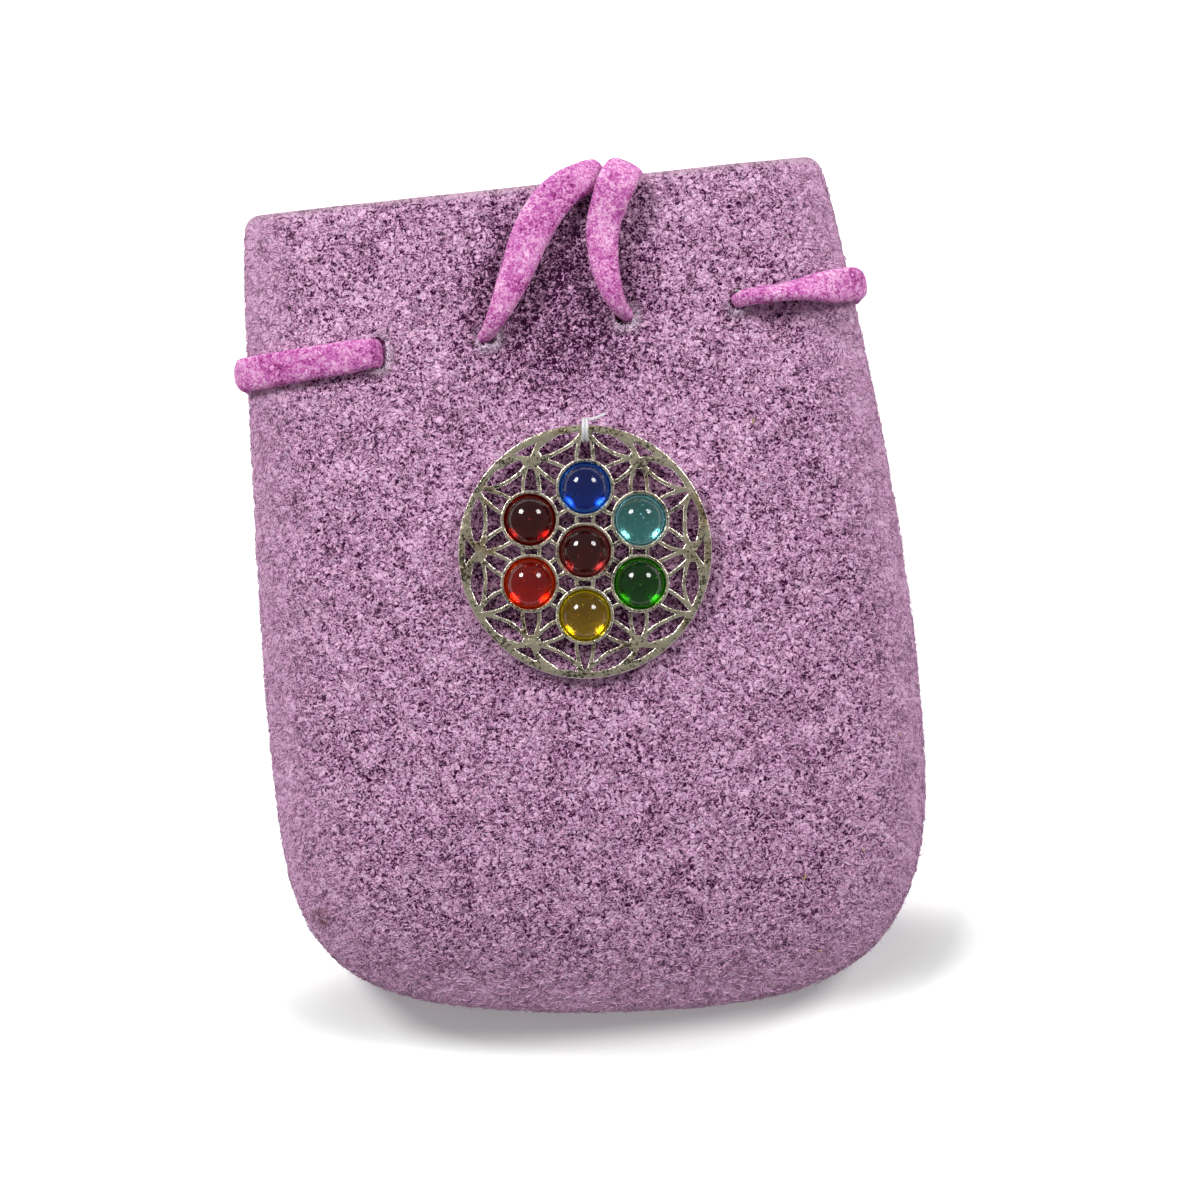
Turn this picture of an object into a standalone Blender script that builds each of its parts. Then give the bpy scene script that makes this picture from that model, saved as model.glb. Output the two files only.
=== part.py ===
"""A small suede drawstring pouch with a cast lattice pendant, lying on its back.

Metres, +Z up. The front faces +Z and the mouth faces +Y. The origin is under the middle of the
pouch, on the surface that it lies on. A depth is measured from the mouth edge towards the bottom.
"""

import math

import bmesh
import bpy
from mathutils import Matrix, Vector

MM = 0.001

# Pouch outline, seen from the front: (half width at the mouth, at the belly, belly's depth)
LEFT_SIDE = (36.1 * MM, 39.6 * MM, 75.0 * MM)
RIGHT_SIDE = (34.4 * MM, 39.6 * MM, 63.0 * MM)
POUCH_LENGTH = 100.7 * MM
MOUTH_Y = 50.5 * MM
BOTTOM_TILT = 0.075
BOTTOM_ARCH = 4.9 * MM
CORNER_POWER_LEFT = 6.5
CORNER_POWER_RIGHT = 4.6
MIDDLE_DEPTH = 50.0 * MM

# Suede walls and the turned seam between them
WALL = 1.0 * MM
SEAM_HEIGHT = 5.6 * MM
SEAM_FOLD_RADIUS = 1.3 * MM
SEAM_ALLOWANCE = 4.0 * MM
FOLD_END_ANGLE = math.radians(60)
BELLY_TOP = 14.0 * MM
MOUTH_DROP = 4.6 * MM
MOUTH_DROP_POWER = 1.5
BACK_LIFT = 2.3 * MM
BACK_LIFT_START = 40.0 * MM
BACK_LIFT_END = 25.0 * MM
CROWN_POWER = 5
FLAT_SHARE = 0.25 * MM
CLEARANCE = 0.3 * MM

# Lace and its slits
SLIT_X = (-21.25 * MM, -7.95 * MM, 8.65 * MM, 22.45 * MM)
LACE_DEPTH = 17.5 * MM
LACE_SLOPE = 0.042
LACE_WIDTH = 4.0 * MM
LACE_THICKNESS = 1.6 * MM
SLIT_LENGTH = 4.8 * MM
SLIT_WIDTH = 4.2 * MM
SLIT_CORNER = 0.7 * MM
LACE_CROSSING = 2.0 * MM
TAIL_DIAMETER = 2.2 * MM
TAIL_START = 2.6 * MM

# Pendant: lattice circles of one radius, set a radius apart
LATTICE = 7.56 * MM
LINE_WIDTH = 0.66 * MM
RIM_WIDTH = 1.15 * MM
PLATE_THICKNESS = 1.2 * MM
PENDANT_X = 0.95 * MM
PENDANT_DEPTH = 44.8 * MM
PENDANT_TURN = math.radians(-6.1)
SMALLEST_HOLE = 0.12 * MM * MM
ARC_STEP = 1.5 * MM
CUP_RADIUS = 3.5 * MM
CUP_WALL = 0.42 * MM
CUP_BASE = 0.05 * MM
CUP_FLOOR = 0.5 * MM
CUP_HEIGHT = 2.3 * MM
CUP_STEPS = 18
GLASS_GAP = 0.25 * MM
GLASS_GIRDLE = 1.2 * MM
GLASS_DOME = 1.9 * MM
GLASS_STEPS = 16

# Nylon loop over the pendant's rim
NYLON_DIAMETER = 0.45 * MM
LOOP_RADIUS = 1.45 * MM
KNOT_RADIUS = 0.75 * MM

# Grid of a pouch panel
PANEL_COLUMNS = 14
PANEL_ROWS_ABOVE = 7
PANEL_ROWS_BELOW = 7
RING_SPREAD = 0.09
FOLD_STEPS = 4

MODEL_NAME = "drawstring_pouch"
SEAM_GAP = CLEARANCE
FOLD_INSET = SEAM_FOLD_RADIUS * (1 - math.cos(FOLD_END_ANGLE))
FOLD_RISE = SEAM_GAP / 2 + SEAM_FOLD_RADIUS * (1 + math.sin(FOLD_END_ANGLE))
PENDANT_Z = BELLY_TOP + CLEARANCE
RIM_RADIUS = 2 * LATTICE
RIM_MIDDLE = RIM_RADIUS - RIM_WIDTH / 2

# Free lace tails, x, y, z: out of the slit, over the mouth edge, into the pouch and down its back wall
TAIL_LEFT_ROUTE = [
    (-10.2, 32.55, 9.15), (-9.5, 32.6, 9.3), (-7.9, 32.75, 11.4), (-6.6, 33.7, 13.25), (-5.3, 36.1, 13.55),
    (-3.3, 40.1, 13.1), (-1.0, 44.4, 12.2), (1.9, 48.0, 11.35), (3.4, 50.2, 11.0), (4.4, 51.9, 10.1),
    (4.8, 51.8, 8.0), (4.6, 50.2, 6.75), (4.0, 47.0, 6.35), (2.6, 41.0, 5.8), (1.4, 35.0, 5.2), (0.4, 29.0, 4.8),
    (-2.5, 21.5, 4.45), (-9.0, 13.5, 2.9), (-16.0, 6.0, 2.8), (-20.5, -5.0, 2.9), (-20.0, -18.0, 2.9),
    (-13.0, -27.0, 2.8), (-3.5, -27.0, 2.7), (1.0, -19.0, 2.7), (-2.0, -9.5, 2.7), (-9.0, -4.5, 2.7),
    (-13.5, -10.5, 2.7), (-12.0, -17.5, 2.7),
]
TAIL_RIGHT_ROUTE = [
    (10.9, 33.45, 9.05), (10.2, 33.4, 9.2), (8.6, 33.5, 11.4), (7.5, 34.4, 13.15), (7.0, 36.6, 13.45),
    (6.9, 40.5, 12.95), (7.6, 44.6, 12.15), (8.8, 48.2, 11.3), (9.6, 50.2, 11.0), (10.3, 51.9, 10.1),
    (10.6, 51.8, 8.0), (10.2, 50.2, 6.75), (8.9, 47.0, 6.35), (6.3, 41.0, 5.8), (4.9, 35.0, 5.2), (4.6, 29.0, 4.8),
    (7.5, 21.5, 4.45), (14.0, 13.5, 2.9), (20.0, 5.5, 2.9), (22.5, -5.5, 3.0), (21.5, -18.0, 3.0),
    (15.5, -27.0, 2.9), (8.0, -26.5, 2.7), (5.5, -18.0, 2.7), (9.5, -9.5, 2.7), (15.5, -8.0, 2.7),
    (17.0, -14.5, 2.7), (13.0, -19.5, 2.7),
]


def clear_scene():
    for obj in list(bpy.data.objects):
        bpy.data.objects.remove(obj, do_unlink=True)


def collection(name):
    found = bpy.data.collections.new(name)
    bpy.context.scene.collection.children.link(found)
    return found


def material(name, colour, roughness, metallic=0.0, transmission=0.0):
    found = bpy.data.materials.new(name)
    found.use_nodes = True
    shader = found.node_tree.nodes["Principled BSDF"]
    shader.inputs["Base Color"].default_value = (*colour, 1.0)
    shader.inputs["Roughness"].default_value = roughness
    shader.inputs["Metallic"].default_value = metallic
    shader.inputs["Transmission Weight"].default_value = transmission
    found.diffuse_color = (*colour, 1.0)
    return found


def mesh_object(name, mesh, where, finish=None):
    obj = bpy.data.objects.new(name, mesh)
    where.objects.link(obj)
    if finish:
        mesh.materials.clear()
        mesh.materials.append(finish)
    return obj


def from_bmesh(name, bm, where, finish=None):
    mesh = bpy.data.meshes.new(name)
    bm.to_mesh(mesh)
    bm.free()
    return mesh_object(name, mesh, where, finish)


def smooth(obj, angle=40):
    obj.data.shade_smooth()
    obj.data.set_sharp_from_angle(angle=math.radians(angle))


def as_cutter(obj):
    obj.hide_render = True
    obj.display_type = "WIRE"


def boolean(obj, other, operation):
    """Cuts other from obj, or joins it to obj, and keeps the result as obj's own mesh."""
    step = obj.modifiers.new(operation.title(), "BOOLEAN")
    step.operation = operation
    step.solver = "EXACT"
    step.object = other
    bpy.context.view_layer.update()
    done = bpy.data.meshes.new_from_object(obj.evaluated_get(bpy.context.evaluated_depsgraph_get()))
    obj.modifiers.clear()
    obj.data = done


def curve_to_mesh(obj, where, finish=None):
    """The curve object's evaluated mesh, with its caps welded, as a new object in its place."""
    bpy.context.view_layer.update()
    mesh = bpy.data.meshes.new_from_object(obj.evaluated_get(bpy.context.evaluated_depsgraph_get()))
    bm = bmesh.new()
    bm.from_mesh(mesh)
    bmesh.ops.remove_doubles(bm, verts=bm.verts, dist=0.001 * MM)
    bmesh.ops.recalc_face_normals(bm, faces=bm.faces)
    bm.to_mesh(mesh)
    bm.free()
    name, place = obj.name, obj.matrix_world.copy()
    bpy.data.objects.remove(obj, do_unlink=True)
    done = mesh_object(name, mesh, where, finish)
    done.matrix_world = place
    return done


def attach(child, parent):
    """Parents child without moving it."""
    bpy.context.view_layer.update()
    child.parent = parent
    child.matrix_parent_inverse = parent.matrix_world.inverted()


def empty_at(name, place, where):
    found = bpy.data.objects.new(name, None)
    found.matrix_world = place
    where.objects.link(found)
    return found


def depth_of(y):
    return MOUTH_Y - y


def half_width(x, depth):
    """From the middle line out to the seam edge, on the side where x lies."""
    mouth, belly, belly_depth = LEFT_SIDE if x < 0 else RIGHT_SIDE
    share = min(max(depth / belly_depth, 0.0), 1.0)
    return mouth + (belly - mouth) * math.sin(math.pi / 2 * share)


def bottom_depth(x):
    arch = BOTTOM_ARCH * (x / half_width(x, POUCH_LENGTH)) ** 2
    return POUCH_LENGTH + BOTTOM_TILT * x - arch


def corner_power(x):
    return CORNER_POWER_LEFT if x < 0 else CORNER_POWER_RIGHT


def panel_point(u, w):
    """A square of u from -1 to 1 and w from -1, the mouth, to 1, the bottom, laid out on the panel.

    The square's lower corners are drawn in to the pouch's round ones. The edge is where the seam's
    fold begins. Returns x and depth.
    """
    if w <= 0:
        depth = MIDDLE_DEPTH * (1 + w)
        return u * (half_width(u, depth) - FOLD_INSET), depth
    power = corner_power(u)
    reach = max(abs(u), w)
    drawn_in = ((abs(u) / reach) ** power + (w / reach) ** power) ** (-1 / power)
    down = w * drawn_in
    x = u * drawn_in * (half_width(u, MIDDLE_DEPTH + down * (POUCH_LENGTH - MIDDLE_DEPTH)) - FOLD_INSET)
    return x, MIDDLE_DEPTH + down * (bottom_depth(x) - FOLD_INSET - MIDDLE_DEPTH)


def edge_share(x, depth):
    """0 in the middle of the panel and 1 where the seam's fold begins."""
    across = abs(x) / (half_width(x, depth) - FOLD_INSET)
    if depth <= MIDDLE_DEPTH:
        return min(across, 1.0)
    down = (depth - MIDDLE_DEPTH) / (bottom_depth(x) - FOLD_INSET - MIDDLE_DEPTH)
    power = corner_power(x)
    return min((across**power + down**power) ** (1 / power), 1.0)


def front_face(x, depth):
    """Height of the front's outer face: flat over the belly, and lower towards the mouth."""
    up = max(MIDDLE_DEPTH - depth, 0.0) / MIDDLE_DEPTH
    top = BELLY_TOP - MOUTH_DROP * up**MOUTH_DROP_POWER
    fold = SEAM_HEIGHT + FOLD_RISE
    crown = 1 - edge_share(x, depth) ** CROWN_POWER
    return min(top, fold + (top + FLAT_SHARE - fold) * crown)


def back_face(x, depth):
    """Height of the back's outer face: flat on the table, and lifted by the lace near the mouth."""
    share = min(max((BACK_LIFT_START - depth) / (BACK_LIFT_START - BACK_LIFT_END), 0.0), 1.0)
    low = BACK_LIFT * share * share * (3 - 2 * share)
    fold = SEAM_HEIGHT - FOLD_RISE
    crown = 1 - edge_share(x, depth) ** CROWN_POWER
    return max(low, fold + (low - FLAT_SHARE - fold) * crown)


def edge_direction(u, w):
    """The edge point for a place on the square's edge, and the way out from it."""
    nudge = 0.01
    if abs(u) >= w:
        u = math.copysign(1.0, u)
        before, after = panel_point(u, w - nudge), panel_point(u, w + nudge)
    else:
        before, after = panel_point(u - nudge, 1.0), panel_point(u + nudge, 1.0)
    along = Vector((after[0] - before[0], after[1] - before[1])).normalized()
    out = Vector((along.y, -along.x))
    point = Vector(panel_point(u, w))
    if out.dot(point - Vector((0, MIDDLE_DEPTH))) < 0:
        out.negate()
    if w <= 0:
        out = Vector((math.copysign(1.0, u), 0.0))
    return point, out


def seam_profile(sign):
    """The turned seam beyond the panel's edge: the way out and the height of each ring."""
    profile = []
    for step in range(1, FOLD_STEPS + 1):
        angle = FOLD_END_ANGLE - (FOLD_END_ANGLE + math.pi / 2) * step / FOLD_STEPS
        out = FOLD_INSET - SEAM_FOLD_RADIUS * (1 - math.cos(angle))
        rise = SEAM_GAP / 2 + SEAM_FOLD_RADIUS * (1 + math.sin(angle))
        profile.append((out, SEAM_HEIGHT + sign * rise))
    profile.append((FOLD_INSET - SEAM_ALLOWANCE, SEAM_HEIGHT + sign * SEAM_GAP / 2))
    return profile


def spaced(count, ease):
    """Places from 0 to 1, closer together near 1."""
    return [(1 - ease) * i / count + ease * math.sin(math.pi / 2 * i / count) for i in range(count + 1)]


def panel(name, sign, face, where, finish):
    """One suede panel: a grid laid out on its outer face and round the seam's fold, then its wall."""
    half = spaced(PANEL_COLUMNS // 2, 0.6)
    rings = seam_profile(sign)
    beyond = [1 + RING_SPREAD * (k + 1) / len(rings) for k in range(len(rings))]
    across = [-a for a in reversed(half + beyond)] + (half + beyond)[1:]
    down = [-1 + i / PANEL_ROWS_ABOVE for i in range(PANEL_ROWS_ABOVE)] + spaced(PANEL_ROWS_BELOW, 0.6) + beyond

    bm = bmesh.new()
    bmesh.ops.create_grid(bm, x_segments=len(across) - 1, y_segments=len(down) - 1, size=0.5)
    for vert in bm.verts:
        u = across[round((vert.co.x + 0.5) * (len(across) - 1))]
        w = down[round((0.5 - vert.co.y) * (len(down) - 1))]
        reach = max(abs(u), w)
        if reach <= 1:
            x, depth = panel_point(u, w)
            z = face(x, depth)
        else:
            ring = rings[round((reach - 1) / RING_SPREAD * len(rings)) - 1]
            point, out = edge_direction(u / reach, w / reach if w > 0 else w)
            x, depth = point + out * ring[0]
            z = ring[1]
        vert.co = (x, MOUTH_Y - depth, z)
    if sign < 0:
        bmesh.ops.reverse_faces(bm, faces=bm.faces)
    obj = from_bmesh(name, bm, where, finish)
    solidify = obj.modifiers.new("Wall", "SOLIDIFY")
    solidify.thickness = WALL
    solidify.offset = -1
    solidify.use_even_offset = True
    return obj


def lace_y(x):
    return MOUTH_Y - LACE_DEPTH + LACE_SLOPE * x


def slit_cutters(name, face, where):
    """One box with rounded upright edges for each slit, long enough to go through the wall."""
    bm = bmesh.new()
    for x in SLIT_X:
        z = face(x, depth_of(lace_y(x)))
        size = Matrix.Diagonal((SLIT_WIDTH, SLIT_LENGTH, 6 * WALL, 1))
        made = bmesh.ops.create_cube(bm, size=1, matrix=Matrix.Translation((x, lace_y(x), z)) @ size)
        upright = [
            edge
            for edge in {e for v in made["verts"] for e in v.link_edges}
            if abs(edge.verts[0].co.z - edge.verts[1].co.z) > WALL
        ]
        bmesh.ops.bevel(bm, geom=upright, offset=SLIT_CORNER, segments=2, profile=0.5, affect="EDGES")
    cutter = from_bmesh(name, bm, where)
    as_cutter(cutter)
    return cutter


def smooth_curve(points, steps):
    """Points along a smooth curve through the given ones, with steps pieces between two of them."""
    ends = [points[0] * 2 - points[1], *points, points[-1] * 2 - points[-2]]
    found = []
    for a, b, c, d in zip(ends, ends[1:], ends[2:], ends[3:]):
        for i in range(steps):
            t = i / steps
            found.append(
                0.5 * (2 * b + (c - a) * t + (2 * a - 5 * b + 4 * c - d) * t**2 + (3 * b - 3 * c + d - a) * t**3)
            )
    return found + [points[-1].copy()]


def lace_route():
    """The held lace's middle line: inside the front, round one side, in and out along the back, and home."""
    half = LACE_THICKNESS / 2

    def lying(face, sign, x, outside):
        z = face(x, depth_of(lace_y(x)))
        away = CLEARANCE + half if outside else -(WALL + CLEARANCE + half)
        return Vector((x, lace_y(x), z + sign * away))

    def crossing(face, sign, x, way, to_outside):
        step = way * LACE_CROSSING / 2
        return [lying(face, sign, x - step, not to_outside), lying(face, sign, x + step, to_outside)]

    def round_side(side):
        """Round the seam's two folds, from the front to the back."""
        found = []
        radius = SEAM_FOLD_RADIUS + CLEARANCE + half
        for sign, angles in ((1, (60, 30, 0)), (-1, (0, 30, 60))):
            for angle in angles:
                turn = math.radians(angle)
                x = side * (half_width(side, LACE_DEPTH) - SEAM_FOLD_RADIUS + radius * math.cos(turn))
                z = SEAM_HEIGHT + sign * (SEAM_GAP / 2 + SEAM_FOLD_RADIUS + radius * math.sin(turn))
                found.append(Vector((x, lace_y(x), z)))
        return found

    one, two, three, four = SLIT_X
    begin = TAIL_START + CLEARANCE
    left = [lying(front_face, 1, two - begin, False), lying(front_face, 1, (one + two) / 2, False)]
    left += crossing(front_face, 1, one, -1, True)
    left += [lying(front_face, 1, one - a * MM, True) for a in (4, 9)] + round_side(-1)
    left += [lying(back_face, -1, one - a * MM, True) for a in (9, 4)] + crossing(back_face, -1, one, 1, False)
    left += [lying(back_face, -1, (one + two) / 2, False)] + crossing(back_face, -1, two, 1, True)
    middle = [lying(back_face, -1, (two + three) / 2, True)]
    right = crossing(back_face, -1, three, 1, False) + [lying(back_face, -1, (three + four) / 2, False)]
    right += crossing(back_face, -1, four, 1, True)
    right += [lying(back_face, -1, four + a * MM, True) for a in (4, 8)] + round_side(1)[::-1]
    right += [lying(front_face, 1, four + a * MM, True) for a in (8, 4)] + crossing(front_face, 1, four, -1, False)
    right += [lying(front_face, 1, (three + four) / 2, False), lying(front_face, 1, three + begin, False)]
    return left + middle + right


def held_lace(where, finish):
    """A flat lace: a strip two points wide along its route, thickened to both sides."""
    line = smooth_curve(lace_route(), 2)
    bm = bmesh.new()
    bmesh.ops.create_grid(bm, x_segments=len(line) - 1, y_segments=1, size=0.5)
    for vert in bm.verts:
        middle = line[round((vert.co.x + 0.5) * (len(line) - 1))]
        vert.co = middle + Vector((0, math.copysign(LACE_WIDTH / 2, vert.co.y), 0))
    obj = from_bmesh("drawstring_lace", bm, where, finish)
    solidify = obj.modifiers.new("Thickness", "SOLIDIFY")
    solidify.thickness = LACE_THICKNESS
    solidify.offset = 0
    solidify.use_even_offset = True
    return obj


def lace_tail(name, route, where, finish):
    """A free tail as a plain tube: close points where it turns sharply, wider ones inside the pouch."""
    fine = smooth_curve([Vector(p) * MM for p in route], 12)
    points, gone = [fine[0]], 0.0
    for before, after in zip(fine, fine[1:]):
        gone += (after - before).length
        wanted = 0.9 * TAIL_DIAMETER if after.y > depth_of(POUCH_LENGTH / 4) else 2.2 * TAIL_DIAMETER
        if gone >= wanted:
            points.append(after)
            gone = 0.0
    points[-1] = fine[-1]
    data = bpy.data.curves.new(name, "CURVE")
    data.dimensions = "3D"
    data.bevel_depth = TAIL_DIAMETER / 2
    data.bevel_resolution = 2
    data.use_fill_caps = True
    spline = data.splines.new("POLY")
    spline.points.add(len(points) - 1)
    for at, point in zip(spline.points, points):
        at.co = (*point, 1)
    data.materials.append(finish)
    obj = bpy.data.objects.new(name, data)
    where.objects.link(obj)
    return obj


def lattice_points(reach):
    """Points of a triangular lattice, one of them upright above the middle, out to a distance."""
    found = []
    for i in range(-4, 5):
        for j in range(-4, 5):
            point = Vector((math.sqrt(3) / 2 * i, j + i / 2)) * LATTICE
            if point.length <= reach + 0.01 * LATTICE:
                found.append(point)
    return found


def circle_meetings(a, b):
    """The two points where two circles, (middle, radius), meet."""
    (p, r), (q, s) = a, b
    apart = (q - p).length
    if apart < 1e-9 or apart > r + s or apart < abs(r - s):
        return []
    along = (r * r - s * s + apart * apart) / (2 * apart)
    off = math.sqrt(max(r * r - along * along, 0.0))
    way = (q - p) / apart
    return [p + way * along + Vector((-way.y, way.x)) * off * sign for sign in (1, -1)]


def round_region(inside, outside):
    """The outline of what lies in all the circles of inside and in none of outside, as points."""
    slack = 1e-7

    def holds(point):
        return all((point - c).length < r + slack for c, r in inside) and all(
            (point - c).length > r - slack for c, r in outside
        )

    arcs = []
    circles = inside + outside
    for circle in circles:
        middle, radius = circle
        corners = [p for other in circles if other is not circle for p in circle_meetings(circle, other) if holds(p)]
        angles = sorted({round(math.atan2(*(p - middle).yx), 7) for p in corners})
        for low, high in zip(angles, angles[1:] + [a + 2 * math.pi for a in angles[:1]]):
            turn = (low + high) / 2
            if high - low > 1e-5 and holds(middle + Vector((math.cos(turn), math.sin(turn))) * radius):
                steps = max(2, math.ceil((high - low) * radius / ARC_STEP))
                turns = [low + (high - low) * k / steps for k in range(steps + 1)]
                arcs.append([middle + Vector((math.cos(t), math.sin(t))) * radius for t in turns])
    if not arcs:
        return []
    outline = arcs.pop(0)
    while arcs:
        end = outline[-1]
        arc = min(arcs, key=lambda a: min((a[0] - end).length, (a[-1] - end).length))
        arcs.remove(arc)
        outline += arc[1:] if (arc[0] - end).length < (arc[-1] - end).length else arc[-2::-1]
    return outline[:-1]


def area_of(outline):
    return abs(sum(a.x * b.y - b.x * a.y for a, b in zip(outline, outline[1:] + outline[:1]))) / 2


def lattice_holes():
    """Petals between neighbouring lattice points and the curved triangles among them, inside the rim."""
    rim = (Vector((0, 0)), RIM_RADIUS - RIM_WIDTH)
    points = lattice_points(3 * LATTICE)
    within, without = LATTICE - LINE_WIDTH / 2, LATTICE + LINE_WIDTH / 2
    near = {
        i: [j for j, q in enumerate(points) if i != j and (p - q).length < 1.1 * LATTICE] for i, p in enumerate(points)
    }
    holes = []
    for i, p in enumerate(points):
        for j in near[i]:
            q = points[j]
            if i < j and ((p + q) / 2).length < RIM_RADIUS:
                sides = Vector((-(q - p).y, (q - p).x)) * math.sqrt(3) / 2
                holes.append(round_region([rim] + [((p + q) / 2 + sides * s, within) for s in (1, -1)], []))
            for k in near[j]:
                r = points[k]
                if i < j < k and k in near[i] and ((p + q + r) / 3).length < RIM_RADIUS:
                    reflected = [(b + c - a, without) for a, b, c in ((p, q, r), (q, r, p), (r, p, q))]
                    corner = [(a, LATTICE) for a in (p, q, r)]
                    holes.append(round_region([rim] + corner, reflected))
    return [hole for hole in holes if len(hole) > 2 and area_of(hole) > SMALLEST_HOLE]


def turned(name, profile, steps, where, finish=None):
    """A solid of revolution about Z. The profile is (radius, height), down its outer side."""
    mesh = bpy.data.meshes.new(name)
    edges = [(i, i + 1) for i in range(len(profile) - 1)]
    mesh.from_pydata([(r, 0, z) for r, z in profile], edges, [])
    obj = mesh_object(name, mesh, where, finish)
    screw = obj.modifiers.new("Turn", "SCREW")
    screw.steps = steps
    screw.render_steps = steps
    screw.use_merge_vertices = True
    screw.merge_threshold = 0.02 * MM
    return obj


def baked(obj):
    """The object's mesh with its modifiers in it, in its own space."""
    bpy.context.view_layer.update()
    return bpy.data.meshes.new_from_object(obj.evaluated_get(bpy.context.evaluated_depsgraph_get()))


def pendant_place():
    y = MOUTH_Y - PENDANT_DEPTH
    return Matrix.Translation((PENDANT_X, y, PENDANT_Z)) @ Matrix.Rotation(PENDANT_TURN, 4, "Z")


def rim_top():
    """The middle of the rim's section at the pendant's top, which the loop goes round."""
    return pendant_place() @ Vector((0, RIM_MIDDLE, PLATE_THICKNESS / 2))


def lattice_plate(where, finish):
    """The pendant's pierced plate: a disc with its petal and triangle holes, cut through."""
    data = bpy.data.curves.new("pendant_casting", "CURVE")
    data.dimensions = "2D"
    data.fill_mode = "BOTH"
    data.extrude = PLATE_THICKNESS / 2
    round_steps = math.ceil(2 * math.pi * RIM_RADIUS / ARC_STEP)
    turns = [2 * math.pi * k / round_steps for k in range(round_steps)]
    outline = [Vector((math.cos(t), math.sin(t))) * RIM_RADIUS for t in turns]
    for points in [outline, *lattice_holes()]:
        spline = data.splines.new("POLY")
        spline.use_cyclic_u = True
        spline.points.add(len(points) - 1)
        for at, point in zip(spline.points, points):
            at.co = (point.x, point.y, 0, 1)
    obj = bpy.data.objects.new("pendant_casting", data)
    where.objects.link(obj)
    obj.location.z = PLATE_THICKNESS / 2
    return curve_to_mesh(obj, where, finish)


def seven_discs(name, radius, low, high, where):
    """A disc at the middle and one at each lattice point round it, as one object of seven bodies."""
    first = turned(name + "_one", [(0, high), (radius, high), (radius, low), (0, low)], CUP_STEPS, where)
    mesh = baked(first)
    bpy.data.objects.remove(first, do_unlink=True)
    bm = bmesh.new()
    for place in lattice_points(LATTICE):
        piece = mesh.copy()
        piece.transform(Matrix.Translation((place.x, place.y, 0)))
        bm.from_mesh(piece)
    discs = from_bmesh(name, bm, where)
    as_cutter(discs)
    return discs


def pendant(where, cutters, metal):
    """The pierced plate and its seven bezel cups, which are one casting."""
    plate = lattice_plate(where, metal)
    boolean(plate, seven_discs("bezel_cups", CUP_RADIUS, CUP_BASE, CUP_HEIGHT, cutters), "UNION")
    bore = CUP_RADIUS - CUP_WALL
    boolean(plate, seven_discs("cup_bores", bore, CUP_FLOOR, 2 * CUP_HEIGHT, cutters), "DIFFERENCE")
    plate.data.materials.clear()
    plate.data.materials.append(metal)
    plate.matrix_world = pendant_place() @ plate.matrix_world
    smooth(plate, 30)
    return plate


def cabochon(name, at, where, finish):
    """A domed glass stone with a flat back and a straight girdle, seated in its cup."""
    radius = CUP_RADIUS - CUP_WALL - GLASS_GAP
    base = CUP_FLOOR + CLEARANCE
    ball = (radius**2 + GLASS_DOME**2) / (2 * GLASS_DOME)
    widest = math.asin(radius / ball)
    profile = []
    for k in range(5):
        turn = widest * k / 4
        z = base + GLASS_GIRDLE + GLASS_DOME - ball + ball * math.cos(turn)
        profile.append((ball * math.sin(turn), z))
    profile += [(radius, base), (0, base)]
    obj = turned(name, profile, GLASS_STEPS, where, finish)
    obj.matrix_world = pendant_place() @ Matrix.Translation((at.x, at.y, 0))
    smooth(obj)
    return obj


def hanging_loop(where, cutters, finish):
    """The nylon loop: a ring round the rim, its stem through the needle hole and the knot inside."""
    middle = rim_top()
    skin = front_face(middle.x, depth_of(middle.y))
    bpy.ops.mesh.primitive_torus_add(
        major_radius=LOOP_RADIUS, minor_radius=NYLON_DIAMETER / 2, major_segments=18, minor_segments=8
    )
    ring = bpy.context.object
    ring.name = ring.data.name = "hanging_loop"
    for old in list(ring.users_collection):
        old.objects.unlink(ring)
    where.objects.link(ring)
    turn = Matrix.Rotation(PENDANT_TURN, 4, "Z") @ Matrix.Rotation(math.pi / 2, 4, "Y")
    ring.matrix_world = Matrix.Translation(middle) @ turn
    knot_z = skin - WALL - CLEARANCE - KNOT_RADIUS
    top_z = middle.z - LOOP_RADIUS
    bm = bmesh.new()
    bmesh.ops.create_cone(
        bm, cap_ends=True, segments=8, radius1=NYLON_DIAMETER / 2, radius2=NYLON_DIAMETER / 2,
        depth=top_z - knot_z, matrix=Matrix.Translation((middle.x, middle.y, (top_z + knot_z) / 2)),
    )
    stem = from_bmesh("loop_stem", bm, cutters)
    bm = bmesh.new()
    bmesh.ops.create_uvsphere(
        bm, u_segments=10, v_segments=7, radius=KNOT_RADIUS, matrix=Matrix.Translation((middle.x, middle.y, knot_z))
    )
    knot = from_bmesh("loop_knot", bm, cutters)
    for piece in (stem, knot):
        as_cutter(piece)
        boolean(ring, piece, "UNION")
    ring.data.materials.clear()
    ring.data.materials.append(finish)
    smooth(ring)
    return ring


def needle_hole(where):
    middle = rim_top()
    skin = front_face(middle.x, depth_of(middle.y))
    radius = NYLON_DIAMETER / 2 + CLEARANCE
    bm = bmesh.new()
    bmesh.ops.create_cone(
        bm, cap_ends=True, segments=10, radius1=radius, radius2=radius, depth=6 * WALL,
        matrix=Matrix.Translation((middle.x, middle.y, skin)),
    )
    cutter = from_bmesh("needle_hole", bm, where)
    as_cutter(cutter)
    return cutter


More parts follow.
